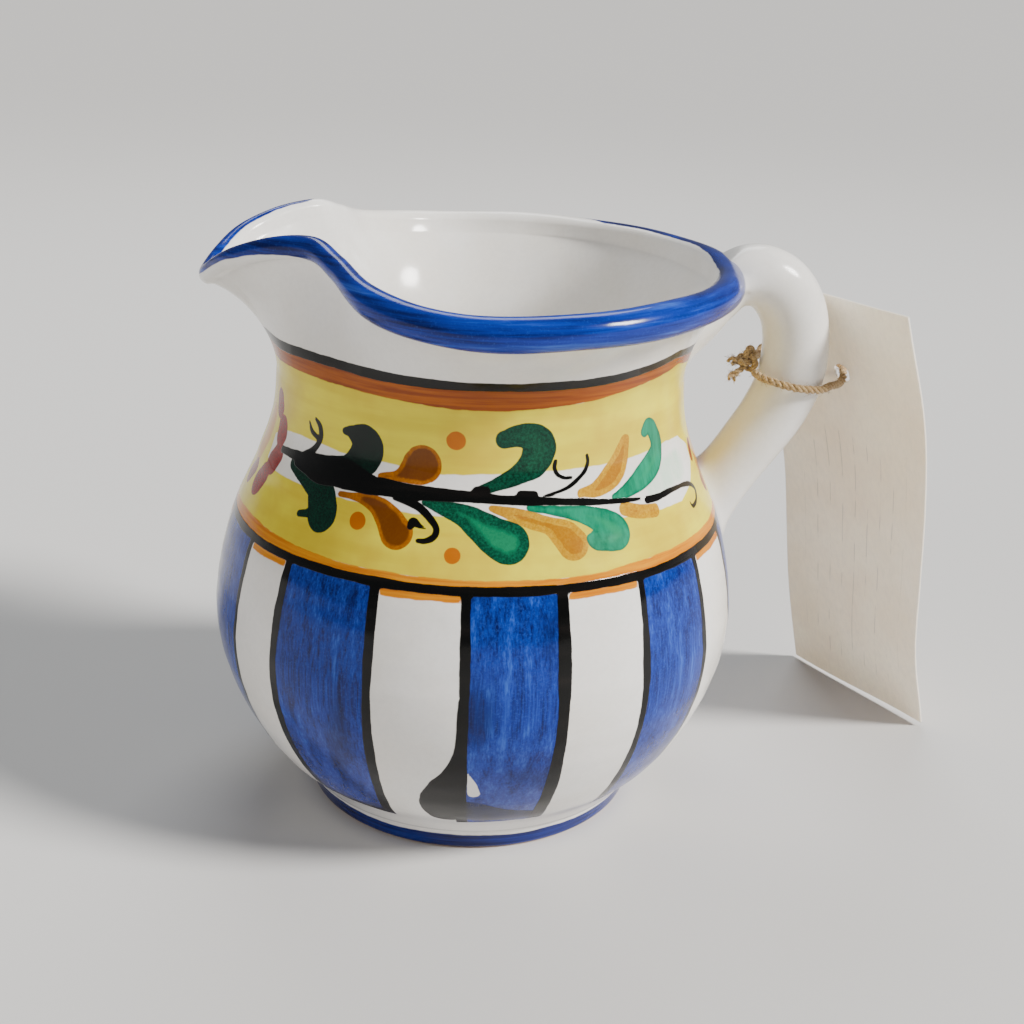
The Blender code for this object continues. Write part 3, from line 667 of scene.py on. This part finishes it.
    # blue stripes and rim, streaked by the brush
    blue_m = mask("blue", 0.10, 0.8)
    streak = net.math("ADD", net.math("MULTIPLY", upright, 0.55), net.math("MULTIPLY", upright_wide, 0.6))
    blue = net.mix(net.ramp(streak, 0.40, 0.66), srgb(3, 13, 76), srgb(14, 50, 150))
    blue = net.mix(net.ramp(streak, 0.60, 0.78, 0.0, 0.75), blue, srgb(54, 100, 196))
    blue = net.mix(net.ramp(grain, 0.45, 0.75, 0.0, 0.3), blue, srgb(52, 92, 188))
    low_light = net.ramp(height_z, 0.045, 0.014, 0.0, 0.42)
    blue = net.mix(net.math("MULTIPLY", low_light, net.ramp(upright_wide, 0.3, 0.65, 0.4, 1.0)), blue, srgb(74, 80, 152))
    deep = net.ramp(net.noise(net.scaled(90.0, 90.0, 30.0), 1.0, 2.0), 0.5, 0.72, 0.0, 0.6)
    blue = net.mix(deep, blue, srgb(1, 5, 44))
    colour = net.mix(blue_m, colour, blue)

    rim_m = mask("rim", 0.14, 1.2)
    ring = net.math("ADD", net.math("MULTIPLY", level, 0.5), net.math("MULTIPLY", level_wide, 0.62))
    rim = net.mix(net.ramp(ring, 0.42, 0.66), srgb(4, 14, 78), srgb(14, 46, 150))
    rim = net.mix(net.ramp(ring, 0.60, 0.78, 0.0, 0.8), rim, srgb(62, 108, 206))
    rim = net.mix(net.ramp(grain, 0.5, 0.8, 0.0, 0.25), rim, srgb(54, 92, 190))
    colour = net.mix(rim_m, colour, rim)

    # dark translucent brush stroke and black lines
    smear_m = mask("smear", 0.3, 1.5)
    colour = net.mix(net.math("MULTIPLY", smear_m, net.ramp(upright_wide, 0.3, 0.7, 0.6, 0.96)), colour, srgb(14, 11, 22))
    black_m = mask("black", 0.10, 0.75)
    black = net.mix(net.ramp(level_wide, 0.45, 0.8, 0.0, 0.45), BLACK, BLACK_THIN)
    black = net.mix(net.ramp(grain, 0.6, 0.85, 0.0, 0.3), black, srgb(48, 40, 36))
    colour = net.mix(black_m, colour, black)

    net.put(colour, net.shader.inputs["Base Color"])
    paint = net.math("MAXIMUM", black_m, net.math("MULTIPLY", net.math("MAXIMUM", green_m, blue_m), 0.55))
    paint = net.math("MAXIMUM", paint, net.math("MULTIPLY", net.math("MAXIMUM", yellow_m, shaded_ochre_m), 0.3))
    paint = net.math("ADD", paint, net.math("MULTIPLY", upright, net.math("MULTIPLY", blue_m, 0.25)))
    paint = net.math("SUBTRACT", paint, net.math("MULTIPLY", speck, 0.8))
    glaze_finish(net, paint, 0.06)
    return net.mat


def white_material(name="handle_tin_glaze"):
    net = Net(name)
    white, speck = tin_white(net)
    net.put(white, net.shader.inputs["Base Color"])
    glaze_finish(net, net.math("SUBTRACT", 1.0, speck), 0.05)
    return net.mat


def foot_material():
    net = Net("foot_blue_glaze")
    white, speck = tin_white(net)
    z = net.axis(2)
    wob = net.noise(net.scaled(90, 90, 90), 1.0, 3.0)
    fine = net.noise(net.coords(), 900.0, 2.0)
    level = net.noise(net.scaled(60.0, 60.0, 1700.0), 1.0, 4.0, 0.6)
    level_wide = net.noise(net.scaled(26.0, 26.0, 320.0), 1.0, 3.0, 0.6)
    ring = net.math("ADD", net.math("MULTIPLY", level, 0.5), net.math("MULTIPLY", level_wide, 0.6))
    blue = net.mix(net.ramp(ring, 0.4, 0.66), srgb(5, 12, 68), srgb(18, 38, 120))
    blue = net.mix(net.ramp(ring, 0.6, 0.8, 0.0, 0.6), blue, srgb(58, 76, 160))
    edge = net.math("ADD", z, net.math("MULTIPLY", net.math("SUBTRACT", wob, 0.5), 0.0012))
    top = net.ramp(edge, 0.0041, 0.0038)
    colour = net.mix(top, white, blue)
    clay = net.mix(net.ramp(fine, 0.3, 0.7), srgb(196, 150, 112), srgb(214, 176, 140))
    bare = net.ramp(net.math("ADD", z, net.math("MULTIPLY", net.math("SUBTRACT", wob, 0.5), 0.0004)), 0.00045, 0.0003)
    colour = net.mix(bare, colour, clay)
    net.put(colour, net.shader.inputs["Base Color"])
    glaze_finish(net, net.math("MULTIPLY", level, top), 0.05)
    for link in list(net.shader.inputs["Roughness"].links):
        net.tree.links.remove(link)
    net.put(net.ramp(bare, 0.0, 1.0, 0.17, 0.85), net.shader.inputs["Roughness"])
    return net.mat


def twine_material():
    net = Net("jute_fibre")
    fine = net.noise(net.scaled(1, 1, 1), 2600.0, 4.0, 0.7)
    slow = net.noise(net.coords(), 260.0, 3.0)
    colour = net.mix(net.ramp(fine, 0.3, 0.7), srgb(128, 100, 62), srgb(218, 188, 138))
    colour = net.mix(net.ramp(slow, 0.4, 0.7, 0.0, 0.5), colour, srgb(160, 126, 80))
    net.put(colour, net.shader.inputs["Base Color"])
    net.put(net.ramp(fine, 0.3, 0.7, 0.75, 0.95), net.shader.inputs["Roughness"])
    net.shader.inputs["Sheen Weight"].default_value = 0.35
    net.shader.inputs["Specular IOR Level"].default_value = 0.25
    net.put(net.bump(fine, 0.00012, 0.9), net.shader.inputs["Normal"])
    return net.mat


def paper_material():
    net = Net("tag_paper")
    fibre = net.noise(net.scaled(900.0, 900.0, 260.0), 1.0, 4.0, 0.7)
    fine = net.noise(net.coords(), 1700.0, 3.0, 0.7)
    cloud = net.noise(net.coords(), 42.0, 4.0)
    colour = net.mix(net.ramp(cloud, 0.3, 0.7), srgb(252, 238, 220), srgb(240, 224, 205))
    colour = net.mix(net.ramp(fibre, 0.35, 0.75, 0.0, 0.3), colour, srgb(214, 202, 192))
    colour = net.mix(net.ramp(fine, 0.6, 0.8, 0.0, 0.25), colour, srgb(236, 232, 226))
    # faint ruled lines along the length, broken as in a worn print
    across = net.attribute("tag_across")
    wave = net.math("ABSOLUTE", net.math("SUBTRACT", net.math("FRACT", net.math("MULTIPLY", across, 11.0)), 0.5))
    line = net.ramp(wave, 0.06, 0.0)
    inner = net.math("MULTIPLY", net.ramp(across, 0.12, 0.16), net.ramp(across, 0.88, 0.84))
    down = net.attribute("tag_down")
    inner = net.math("MULTIPLY", inner, net.math("MULTIPLY", net.ramp(down, 0.3, 0.32), net.ramp(down, 0.93, 0.91)))
    worn = net.ramp(net.noise(net.scaled(240.0, 240.0, 120.0), 1.0, 2.0), 0.45, 0.6)
    ink = net.math("MULTIPLY", net.math("MULTIPLY", line, inner), net.math("MULTIPLY", worn, 0.4))
    colour = net.mix(ink, colour, srgb(120, 112, 110))
    net.put(colour, net.shader.inputs["Base Color"])
    net.shader.inputs["Roughness"].default_value = 0.82
    net.shader.inputs["Specular IOR Level"].default_value = 0.3
    net.shader.inputs["Subsurface Weight"].default_value = 0.6
    net.shader.inputs["Subsurface Radius"].default_value = (1.0, 0.9, 0.8)
    net.shader.inputs["Subsurface Scale"].default_value = 0.0012
    net.put(net.bump(fibre, 0.00006, 0.6, net.bump(cloud, 0.0008, 0.25)), net.shader.inputs["Normal"])
    return net.mat


# ------------------------------------------------------------------ pieces


def write_float(mesh, name, values):
    layer = mesh.attributes.new(name, "FLOAT", "POINT")
    layer.data.foreach_set("value", np.asarray(values, np.float32).ravel())


def make_body():
    rows = body_rows()
    radius = np.array([r for _, r, _ in rows])
    height = np.array([z for _, _, z in rows])
    kinds = np.array([k for k, _, _ in rows])
    a = np.radians(TURN)[None, :]
    verts = np.stack([radius * np.cos(a), radius * np.sin(a), height], -1).reshape(-1, 3)
    count = len(rows)
    faces = grid(count, COLUMNS)
    extra = np.array([[0, 0, FLOOR_UNDER_Z + 0.25], [0, 0, FLOOR_TOP_Z]])
    under, floor = len(verts), len(verts) + 1
    top = (count - 1) * COLUMNS
    for c in range(COLUMNS):
        d = (c + 1) % COLUMNS
        faces.append((under, d, c))
        faces.append((floor, top + c, top + d))
    body = mesh_object("painted_body", np.concatenate([verts, extra]), faces, [body_material()])

    outside = np.isin(kinds, ("low", "vine", "flare"))
    turn = np.repeat(TURN[None, :], count, 0)
    layers = paint_pattern(turn[outside], height[outside], radius[outside])
    for name, values in layers.items():
        full = np.full(radius.shape, 0.5 if name == "tone" else -2.0)
        full[outside] = values
        write_float(body.data, name, np.concatenate([full.ravel(), [-2.0, -2.0]]))

    # blue on the rolled rim: all of the bead on the near side, only its outer shoulder on the far side
    rim_r, rim_z = rim_at(TURN)
    share = spout_share(TURN)
    bead = BEAD_R * (1 - share) + LIP_BEAD_R * share
    full = np.full(radius.shape, -2.0)
    around = TURN[None, :]
    signed = wrap(around)
    far = np.clip((signed + 14.0) / 34.0, 0, 1) * np.where(around > 270, 1.0, np.clip((181.0 - around) / 5.0, 0, 1))
    far = far * far * (3 - 2 * far)
    end_near = 139.0 + 4.0 * np.sin(np.radians(around * 4))
    edge_light = np.clip((around - 143.0) / 8.0, 0, 1) + np.where(around > 270, 1.0, np.clip((66.0 - around) / 14.0, 0, 1))
    end_far = 56.0 + 58.0 * np.clip(edge_light, 0, 1)
    end = end_near * (1 - far) + end_far * far
    lip = np.clip((fold(around) - 126.0) / 48.0, 0, 1)
    begin = -96.0 + 92.0 * lip * lip * (3 - 2 * lip) * (1 - far)
    for i, (kind, r, z) in enumerate(rows):
        if kind == "bead":
            degrees = np.degrees(np.arctan2(z - rim_z, r - rim_r))
            degrees = np.where(degrees < -100, degrees + 360, degrees)
            full[i] = np.minimum((degrees - begin[0]), (end[0] - degrees)) * math.pi / 180 * bead
        elif kind == "flare":
            gap = np.hypot(r - (rim_r - 0.25 * bead), z - (rim_z - 0.9 * bead))
            full[i] = 0.5 + 0.25 * np.sin(np.radians(TURN * 6)) - gap - 6.0 * lip[0] * (1 - far[0])
    write_float(body.data, "rim", np.concatenate([np.clip(full, -2, 4.5).ravel(), [-2.0, -2.0]]))
    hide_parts("jug_body")
    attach(body, "pitcher")
    return body


def make_foot():
    profile = [
        (24.0, 5.35), (29.6, 5.35), (30.3, 5.2), (30.7, 4.7), (30.95, 3.6), (31.2, 2.2), (31.45, 1.0), (31.7, 0.45), (32.1, 0.12),
        (32.7, 0.02), (33.4, 0.0), (34.2, 0.0), (35.0, 0.02), (35.6, 0.1), (36.1, 0.32), (36.4, 0.62), (36.6, 1.0), (36.75, 1.6),
        (36.9, 2.3), (37.05, 3.0), (37.2, 3.6), (37.35, 4.1), (37.55, 4.6), (37.8, 5.0), (38.15, 5.45), (37.6, 5.9), (34.0, 5.95),
    ]
    dense = []
    for (r0, z0), (r1, z1) in zip(profile[:-1], profile[1:]):
        for t in (0.0, 0.5):
            dense.append((r0 + (r1 - r0) * t, z0 + (z1 - z0) * t))
    dense.append(profile[-1])
    columns = 360
    around = np.arange(columns) * 2 * math.pi / columns
    verts = []
    for r, z in dense:
        sway = 0.06 * np.sin(around * 3 + 0.4) * (1 if z < 5 else 0)
        verts.append(np.stack([(r + sway) * np.cos(around), (r + sway) * np.sin(around), np.full(columns, z)], -1))
    verts = np.concatenate(verts)
    count = len(dense)
    # closed on itself through the inside of the floor
    faces = grid(count, columns)
    last = (count - 1) * columns
    for c in range(columns):
        d = (c + 1) % columns
        faces.append((last + c, last + d, d, c))
    foot = mesh_object("glazed_foot", verts, faces, [foot_material()])
    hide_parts("foot_ring")
    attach(foot, "pitcher")
    return foot


def outer_radius(turn, z):
    """Outside radius at any point below the bead, and the height where the bead begins."""
    turn, z = np.asarray(turn, float), np.asarray(z, float)
    r = cubic(OUTER_STATIONS, np.minimum(z, 97.0))[0]
    rim_r, rim_z = rim_at(turn)
    best = np.full(z.shape, 1e9)
    out = r.copy()
    for t in np.linspace(0, 1, 60):
        fr, fz = flare(turn, t)
        near = np.abs(fz - z)
        take = (near < best) & (z > 97.0)
        out = np.where(take, fr, out)
        best = np.where(take, near, best)
    return out, rim_r, rim_z


def make_handle():
    steps, sides = (320, 88)
    t = np.linspace(0, 1, steps + 1)
    rows = [(float(i), *p) for i, p in enumerate(HANDLE_STATIONS)]
    x, z, thick, wide = cubic(rows, t * (len(rows) - 1))
    mid = np.stack([x, np.zeros_like(x), z], -1)
    tangent = np.gradient(mid, axis=0)
    tangent /= np.linalg.norm(tangent, axis=1)[:, None]
    side = np.array([0.0, 1.0, 0.0])
    other = np.cross(tangent, side)
    a = np.arange(sides) * 2 * math.pi / sides
    wave = 1 + 0.012 * np.sin(t * 23 + 0.5)[:, None] + 0.008 * np.sin(3 * a + 9 * t[:, None])
    ring = (
        (wide[:, None] * np.cos(a) * wave)[..., None] * side
        + (thick[:, None] * np.sin(a) * wave)[..., None] * other[:, None, :]
    )
    verts = mid[:, None, :] + ring
    # clay smoothed out onto the wall at both ends
    for _ in range(2):
        turn = np.degrees(np.arctan2(verts[..., 1], verts[..., 0])) % 360
        radial = np.hypot(verts[..., 0], verts[..., 1])
        wall, rim_r, rim_z = outer_radius(turn, verts[..., 2])
        wall = np.where(verts[..., 2] > rim_z - 3.0, rim_r + np.sqrt(np.clip(3.3**2 - (verts[..., 2] - rim_z) ** 2, 0, None)), wall)
        gap = np.clip(radial - wall, 0, None)
        below = np.clip((rim_z + 1.0 - verts[..., 2]) / 3.0, 0, 1)
        grow = 0.9 * np.exp(-gap / 1.9) * below
        out = ring / np.linalg.norm(ring, axis=-1, keepdims=True)
        verts = verts + out * grow[..., None] * 0.75
    turn = np.degrees(np.arctan2(verts[..., 1], verts[..., 0])) % 360
    radial = np.hypot(verts[..., 0], verts[..., 1])
    wall, rim_r, rim_z = outer_radius(turn, verts[..., 2])
    inside = np.where(verts[..., 2] > rim_z - 3.0, rim_r, wall - 1.6)
    new = np.maximum(radial, inside)
    scale = (new / np.maximum(radial, 1e-6))[..., None]
    verts[..., :2] *= scale
    over = new - rim_r
    cap = rim_z + 2.75 + 0.85 * np.clip(over, 0, None)
    lower = 0.5 * (verts[..., 2] + cap - np.sqrt((verts[..., 2] - cap) ** 2 + 0.8))
    verts[..., 2] = np.where(over < 9.0, lower, verts[..., 2])
    flat = verts.reshape(-1, 3)
    faces = grid(steps + 1, sides)
    first, end = len(flat), len(flat) + 1
    tips = np.array([verts[0].mean(0), verts[-1].mean(0)])
    last = steps * sides
    for k in range(sides):
        m = (k + 1) % sides
        faces.append((first, m, k))
        faces.append((end, last + k, last + m))
    handle = mesh_object("glazed_handle", np.concatenate([flat, tips]), faces, [white_material()])
    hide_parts("handle")
    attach(handle, "pitcher")
    return handle


def tag_normal(v):
    a, b = max(v - 0.02, 0.0), min(v + 0.02, 1.0)
    down = (along(TAG_LEFT, b) + along(TAG_RIGHT, b)) - (along(TAG_LEFT, a) + along(TAG_RIGHT, a))
    n = np.cross(along(TAG_RIGHT, v) - along(TAG_LEFT, v), down)
    return n / np.linalg.norm(n)


def tag_point(u, v):
    left, right = along(TAG_LEFT, v), along(TAG_RIGHT, v)
    return left + (right - left) * u + tag_normal(v) * (TAG_BOW * 4 * u * (1 - u) * math.sin(math.pi * v))


def tag_hole():
    v = TAG_HOLE_DOWN
    across = tag_point(1.0, v) - tag_point(0.0, v)
    return Vector(tag_point(0.5, v)), Vector(across).normalized(), Vector(tag_normal(v))


def make_tag():
    columns, rows = 46, 118
    centre, across, normal = tag_hole()
    down = across.cross(normal).normalized()
    length = sum((Vector(tag_point(0.5, (i + 1) / 40)) - Vector(tag_point(0.5, i / 40))).length for i in range(40))
    width = (Vector(tag_point(1, 0.5)) - Vector(tag_point(0, 0.5))).length
    hole_v = TAG_HOLE_DOWN
    # flat coordinates (mm) of a grid whose points near the hole slide onto its edge
    us, vs = np.linspace(0, 1, columns + 1), np.linspace(0, 1, rows + 1)
    U, V = np.meshgrid(us, vs)
    dx, dy = (U - 0.5) * width, (V - hole_v) * length
    d = np.hypot(dx, dy)
    near = d < TAG_HOLE_R * 2.6
    target = TAG_HOLE_R + (d - 0.0) * (1 - TAG_HOLE_R / (TAG_HOLE_R * 2.6))
    scale = np.where(near & (d > 1e-6), target / np.maximum(d, 1e-6), 1.0)
    U2, V2 = 0.5 + dx * scale / width, hole_v + dy * scale / length
    step = width / columns
    removed = np.zeros((rows, columns), bool)
    middle_r, middle_c = int(round(hole_v * rows)), columns // 2
    solid = np.ones((rows + 1, columns + 1), bool)
    solid[d < 0.9] = False
    for r in range(rows):
        for c in range(columns):
            if not solid[r : r + 2, c : c + 2].all():
                removed[r, c] = True
    # points round the removed cells go exactly onto the circle
    edge_pts = np.zeros_like(solid)
    for r in range(rows):
        for c in range(columns):
            if removed[r, c]:
                edge_pts[r : r + 2, c : c + 2] = True
    on_edge = edge_pts & solid
    angle = np.arctan2(dy, dx)
    U2 = np.where(on_edge, 0.5 + np.cos(angle) * TAG_HOLE_R / width, U2)
    V2 = np.where(on_edge, hole_v + np.sin(angle) * TAG_HOLE_R / length, V2)
    index = -np.ones(solid.shape, int)
    index[solid] = np.arange(solid.sum())
    pts, nrm, ua, va = [], [], [], []
    for r in range(rows + 1):
        for c in range(columns + 1):
            if solid[r, c]:
                u, v = float(U2[r, c]), float(np.clip(V2[r, c], 0, 1))
                wave = 0.25 * math.sin(9 * v + 2.0) * math.sin(5 * u + 0.4) + 0.12 * math.sin(17 * v + 4 * u)
                n = tag_normal(v)
                pts.append(tag_point(u, v) + n * wave)
                nrm.append(n)
                ua.append(u)
                va.append(v)
    pts, nrm = np.array(pts), np.array(nrm)
    half = len(pts)
    verts = np.concatenate([pts - nrm * TAG_THICK / 2, pts + nrm * TAG_THICK / 2])
    faces, edges = [], {}
    for r in range(rows):
        for c in range(columns):
            if removed[r, c]:
                continue
            q = [int(index[r, c]), int(index[r, c + 1]), int(index[r + 1, c + 1]), int(index[r + 1, c])]
            faces.append(tuple(q))
            faces.append(tuple(half + i for i in reversed(q)))
            for i in range(4):
                e = (q[i], q[(i + 1) % 4])
                if (e[1], e[0]) in edges:
                    del edges[(e[1], e[0])]
                else:
                    edges[e] = True
    for a, b in edges:
        faces.append((b, a, half + a, half + b))
    tag = mesh_object("paper_tag", verts, faces, [paper_material()])
    write_float(tag.data, "tag_across", ua + ua)
    write_float(tag.data, "tag_down", va + va)
    tag.data.set_sharp_from_angle(angle=math.radians(40))
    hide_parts("hang_tag")
    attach(tag, "tag")
    return tag, width, length


def twine_control():
    hole, across, normal = tag_hole()
    knot = Vector(KNOT_CENTRE)
    back = -across
    return [
        tuple(p)
        for p in (
            knot + Vector((1.2, -3.15, -0.9)),
            Vector((61.0, -7.0, 95.8)),
            Vector((66.8, -8.5, 94.5)),
            Vector((72.4, -7.2, 93.7)),
            Vector((76.2, -3.3, 93.5)),
            hole - normal * 3.6 - back * 2.4,
            hole - normal * 0.0,
            hole + normal * 2.3 + back * 3.0,
            hole + normal * 2.4 + back * 10.0,
            hole + normal * 2.2 + back * 18.5,
            hole + normal * 0.4 + back * 24.6,
            hole - normal * 3.8 + back * 23.0,
            Vector((62.8, 12.2, 96.6)),
            knot + Vector((0.8, 3.35, -0.1)),
        )
    ]


def frames(points):
    """Frames that don't twist along a path: (points, first axis, second axis)."""
    t = np.gradient(points, axis=0)
    t /= np.linalg.norm(t, axis=1)[:, None]
    up = np.cross(t[0], [0.3, 0.2, 1.0])
    up /= np.linalg.norm(up)
    ups = [up]
    for i in range(1, len(points)):
        up = up - t[i] * np.dot(up, t[i])
        up /= np.linalg.norm(up)
        ups.append(up)
    ups = np.array(ups)
    return t, ups, np.cross(t, ups)


class Strands:
    """Twisted twine as one mesh: plies wound round a path, with loose fibres."""

    def __init__(self):
        self.verts, self.faces, self.count = [], [], 0

    def tube(self, points, radius, sides):
        points = np.asarray(points, float)
        _, u, w = frames(points)
        radius = np.broadcast_to(radius, (len(points),))
        a = np.arange(sides) * 2 * math.pi / sides
        ring = (
            points[:, None, :]
            + (radius[:, None] * np.cos(a))[..., None] * u[:, None, :]
            + (radius[:, None] * np.sin(a))[..., None] * w[:, None, :]
        )
        base = self.count
        self.verts.append(ring.reshape(-1, 3))
        self.faces += grid(len(points), sides, base)
        n = len(points) * sides
        self.verts.append(points[[0, -1]])
        last = base + (len(points) - 1) * sides
        for k in range(sides):
            m = (k + 1) % sides
            self.faces.append((base + n, base + m, base + k))
            self.faces.append((base + n + 1, last + k, last + m))
        self.count += n + 2

    def rope(self, path, plies=3, offset=0.47, thick=0.42, pitch=4.2, splay=None, sides=10, phase=0.0):
        path = np.asarray(path, float)
        _, u, w = frames(path)
        s = np.concatenate([[0], np.cumsum(np.linalg.norm(np.diff(path, axis=0), axis=1))])
        grow = np.ones(len(path)) if splay is None else splay
        for k in range(plies):
            a = phase + 2 * math.pi * k / plies + 2 * math.pi * s / pitch
            off = offset * grow * (1 + 0.08 * np.sin(s * 1.7 + k * 2))
            p = path + (off * np.cos(a))[:, None] * u + (off * np.sin(a))[:, None] * w
            self.tube(p, thick * (1 + 0.10 * np.sin(s * 2.3 + k) + 0.05 * np.sin(s * 7 + 2 * k)), sides)

    def fuzz(self, path, count, reach=1.5, spread=0.75):
        path = np.asarray(path, float)
        t, u, w = frames(path)
        for _ in range(count):
            i = RNG.integers(1, len(path) - 1)
            a = RNG.uniform(0, 2 * math.pi)
            out = u[i] * math.cos(a) + w[i] * math.sin(a)
            start = path[i] + out * spread
            lean = t[i] * RNG.choice([-1, 1]) * RNG.uniform(0.5, 1.0)
            length = RNG.uniform(0.5, reach)
            curl = RNG.normal(0, 0.5, 3)
            pts = [start + (lean * s + out * (0.22 + 0.35 * s) + curl * s * s * 0.4) * length * s for s in np.linspace(0.0, 1, 5)]
            pts[0] = path[i] + out * (spread - 0.25)
            self.tube(np.array(pts), np.linspace(0.05, 0.022, 5), 4)

    def build(self, name, material):
        return mesh_object(name, np.concatenate(self.verts), self.faces, [material])


def make_twine(material):
    control = twine_control()
    path = along(control, np.linspace(0, 1, 700))
    s = Strands()
    s.rope(path)
    s.fuzz(path, 260)
    loop = s.build("jute_loop", material)
    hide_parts("twine_loop")
    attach(loop, "twine")

    k = Strands()
    centre = np.array(KNOT_CENTRE)
    t = np.linspace(0, 2 * math.pi, 150)
    over = np.stack([np.sin(t) + 2 * np.sin(2 * t), np.cos(t) - 2 * np.cos(2 * t), -np.sin(3 * t) * 1.25], -1) * 0.66
    turn = np.array(Matrix.Rotation(math.radians(64), 3, "X") @ Matrix.Rotation(math.radians(35), 3, "Z"))
    lump = over @ turn.T * np.array([0.95, 1.0, 1.22]) + np.array([0.5, 0.0, 1.2])
    k.rope(centre + lump, offset=0.36, thick=0.36, pitch=3.6)
    for i, tail in enumerate(TAIL_PATHS):
        reach = np.array(tail) * np.array([0.9, 0.9, 0.55]) + np.array([0.0, 0.0, -0.4])
        p = centre + along([tuple(q) for q in reach], np.linspace(0, 1, 60))
        splay = 1 + np.clip((np.linspace(0, 1, 60) - 0.55) / 0.45, 0, 1) ** 2 * 1.5
        k.rope(p, offset=0.4, thick=np.float64(0.33), pitch=4.4, splay=splay, phase=i)
        k.fuzz(p[30:], 70, 1.5, 0.6)
    k.fuzz(centre + lump, 110, 1.2, 0.6)
    knot = k.build("jute_knot", material)
    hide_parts("twine_knot")
    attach(knot, "twine")
    return loop, knot


def make_stage():
    floor_mesh = bpy.data.meshes.new("floor")
    floor_mesh.from_pydata([(-40, -40, 0), (40, -40, 0), (40, 40, 0), (-40, 40, 0)], [], [(0, 1, 2, 3)])
    floor = bpy.data.objects.new("floor", floor_mesh)
    bpy.context.scene.collection.objects.link(floor)
    mat = bpy.data.materials.new("pale_floor")
    mat.use_nodes = True
    shader = mat.node_tree.nodes["Principled BSDF"]
    shader.inputs["Base Color"].default_value = (0.66, 0.65, 0.635, 1)
    shader.inputs["Roughness"].default_value = 0.7
    floor_mesh.materials.append(mat)

    world = bpy.data.worlds.new("studio")
    world.use_nodes = True
    world.node_tree.nodes["Background"].inputs["Color"].default_value = (0.90, 0.94, 1.0, 1)
    world.node_tree.nodes["Background"].inputs["Strength"].default_value = 0.24
    bpy.context.scene.world = world

    def lamp(name, place, size, power, colour, mirrored=True):
        data = bpy.data.lights.new(name, "AREA")
        data.shape = "RECTANGLE"
        data.size, data.size_y = size
        data.energy = power
        data.color = colour
        obj = bpy.data.objects.new(name, data)
        obj.location = place
        obj.rotation_mode = "QUATERNION"
        obj.rotation_quaternion = (Vector((0.0, 0.0, 0.06)) - Vector(place)).to_track_quat("-Z", "Y")
        bpy.context.scene.collection.objects.link(obj)
        obj.visible_glossy = mirrored

    sun = bpy.data.lights.new("key_right", "SUN")
    sun.energy = 6.4
    sun.angle = math.radians(14.0)
    sun.color = (1.0, 0.975, 0.94)
    obj = bpy.data.objects.new("key_right", sun)
    obj.rotation_mode = "QUATERNION"
    obj.rotation_quaternion = Vector((-0.80, 0.34, -0.62)).to_track_quat("-Z", "Y")
    bpy.context.scene.collection.objects.link(obj)
    lamp("fill_left", (-0.75, -0.62, 0.45), (0.6, 0.5), 2.2, (1.0, 0.94, 0.88), False)
    lamp("back_top", (0.05, 0.60, 0.85), (0.6, 0.35), 4.0, (0.95, 0.98, 1.0))


def make_camera():
    data = bpy.data.cameras.new("camera")
    data.sensor_width = 36.0
    data.lens = 52.73
    data.clip_start, data.clip_end = 0.01, 20.0
    cam = bpy.data.objects.new("camera", data)
    turn, pitch, roll = math.radians(6.8), math.radians(20.48), math.radians(2.27)
    right0 = Vector((math.cos(turn), -math.sin(turn), 0.0))
    ahead = Vector((math.sin(turn) * math.cos(pitch), math.cos(turn) * math.cos(pitch), -math.sin(pitch)))
    up0 = Vector((math.sin(turn) * math.sin(pitch), math.cos(turn) * math.sin(pitch), math.cos(pitch)))
    right = right0 * math.cos(roll) + up0 * math.sin(roll)
    up = -right0 * math.sin(roll) + up0 * math.cos(roll)
    matrix = Matrix((right, up, -ahead)).transposed().to_4x4()
    matrix.translation = Vector((-0.03683, -0.30979, 0.17966))
    cam.matrix_world = matrix
    bpy.context.scene.collection.objects.link(cam)
    bpy.context.scene.camera = cam


make_body()
make_foot()
make_handle()
tag, tag_width, tag_length = make_tag()
loop, knot = make_twine(twine_material())
make_stage()
make_camera()
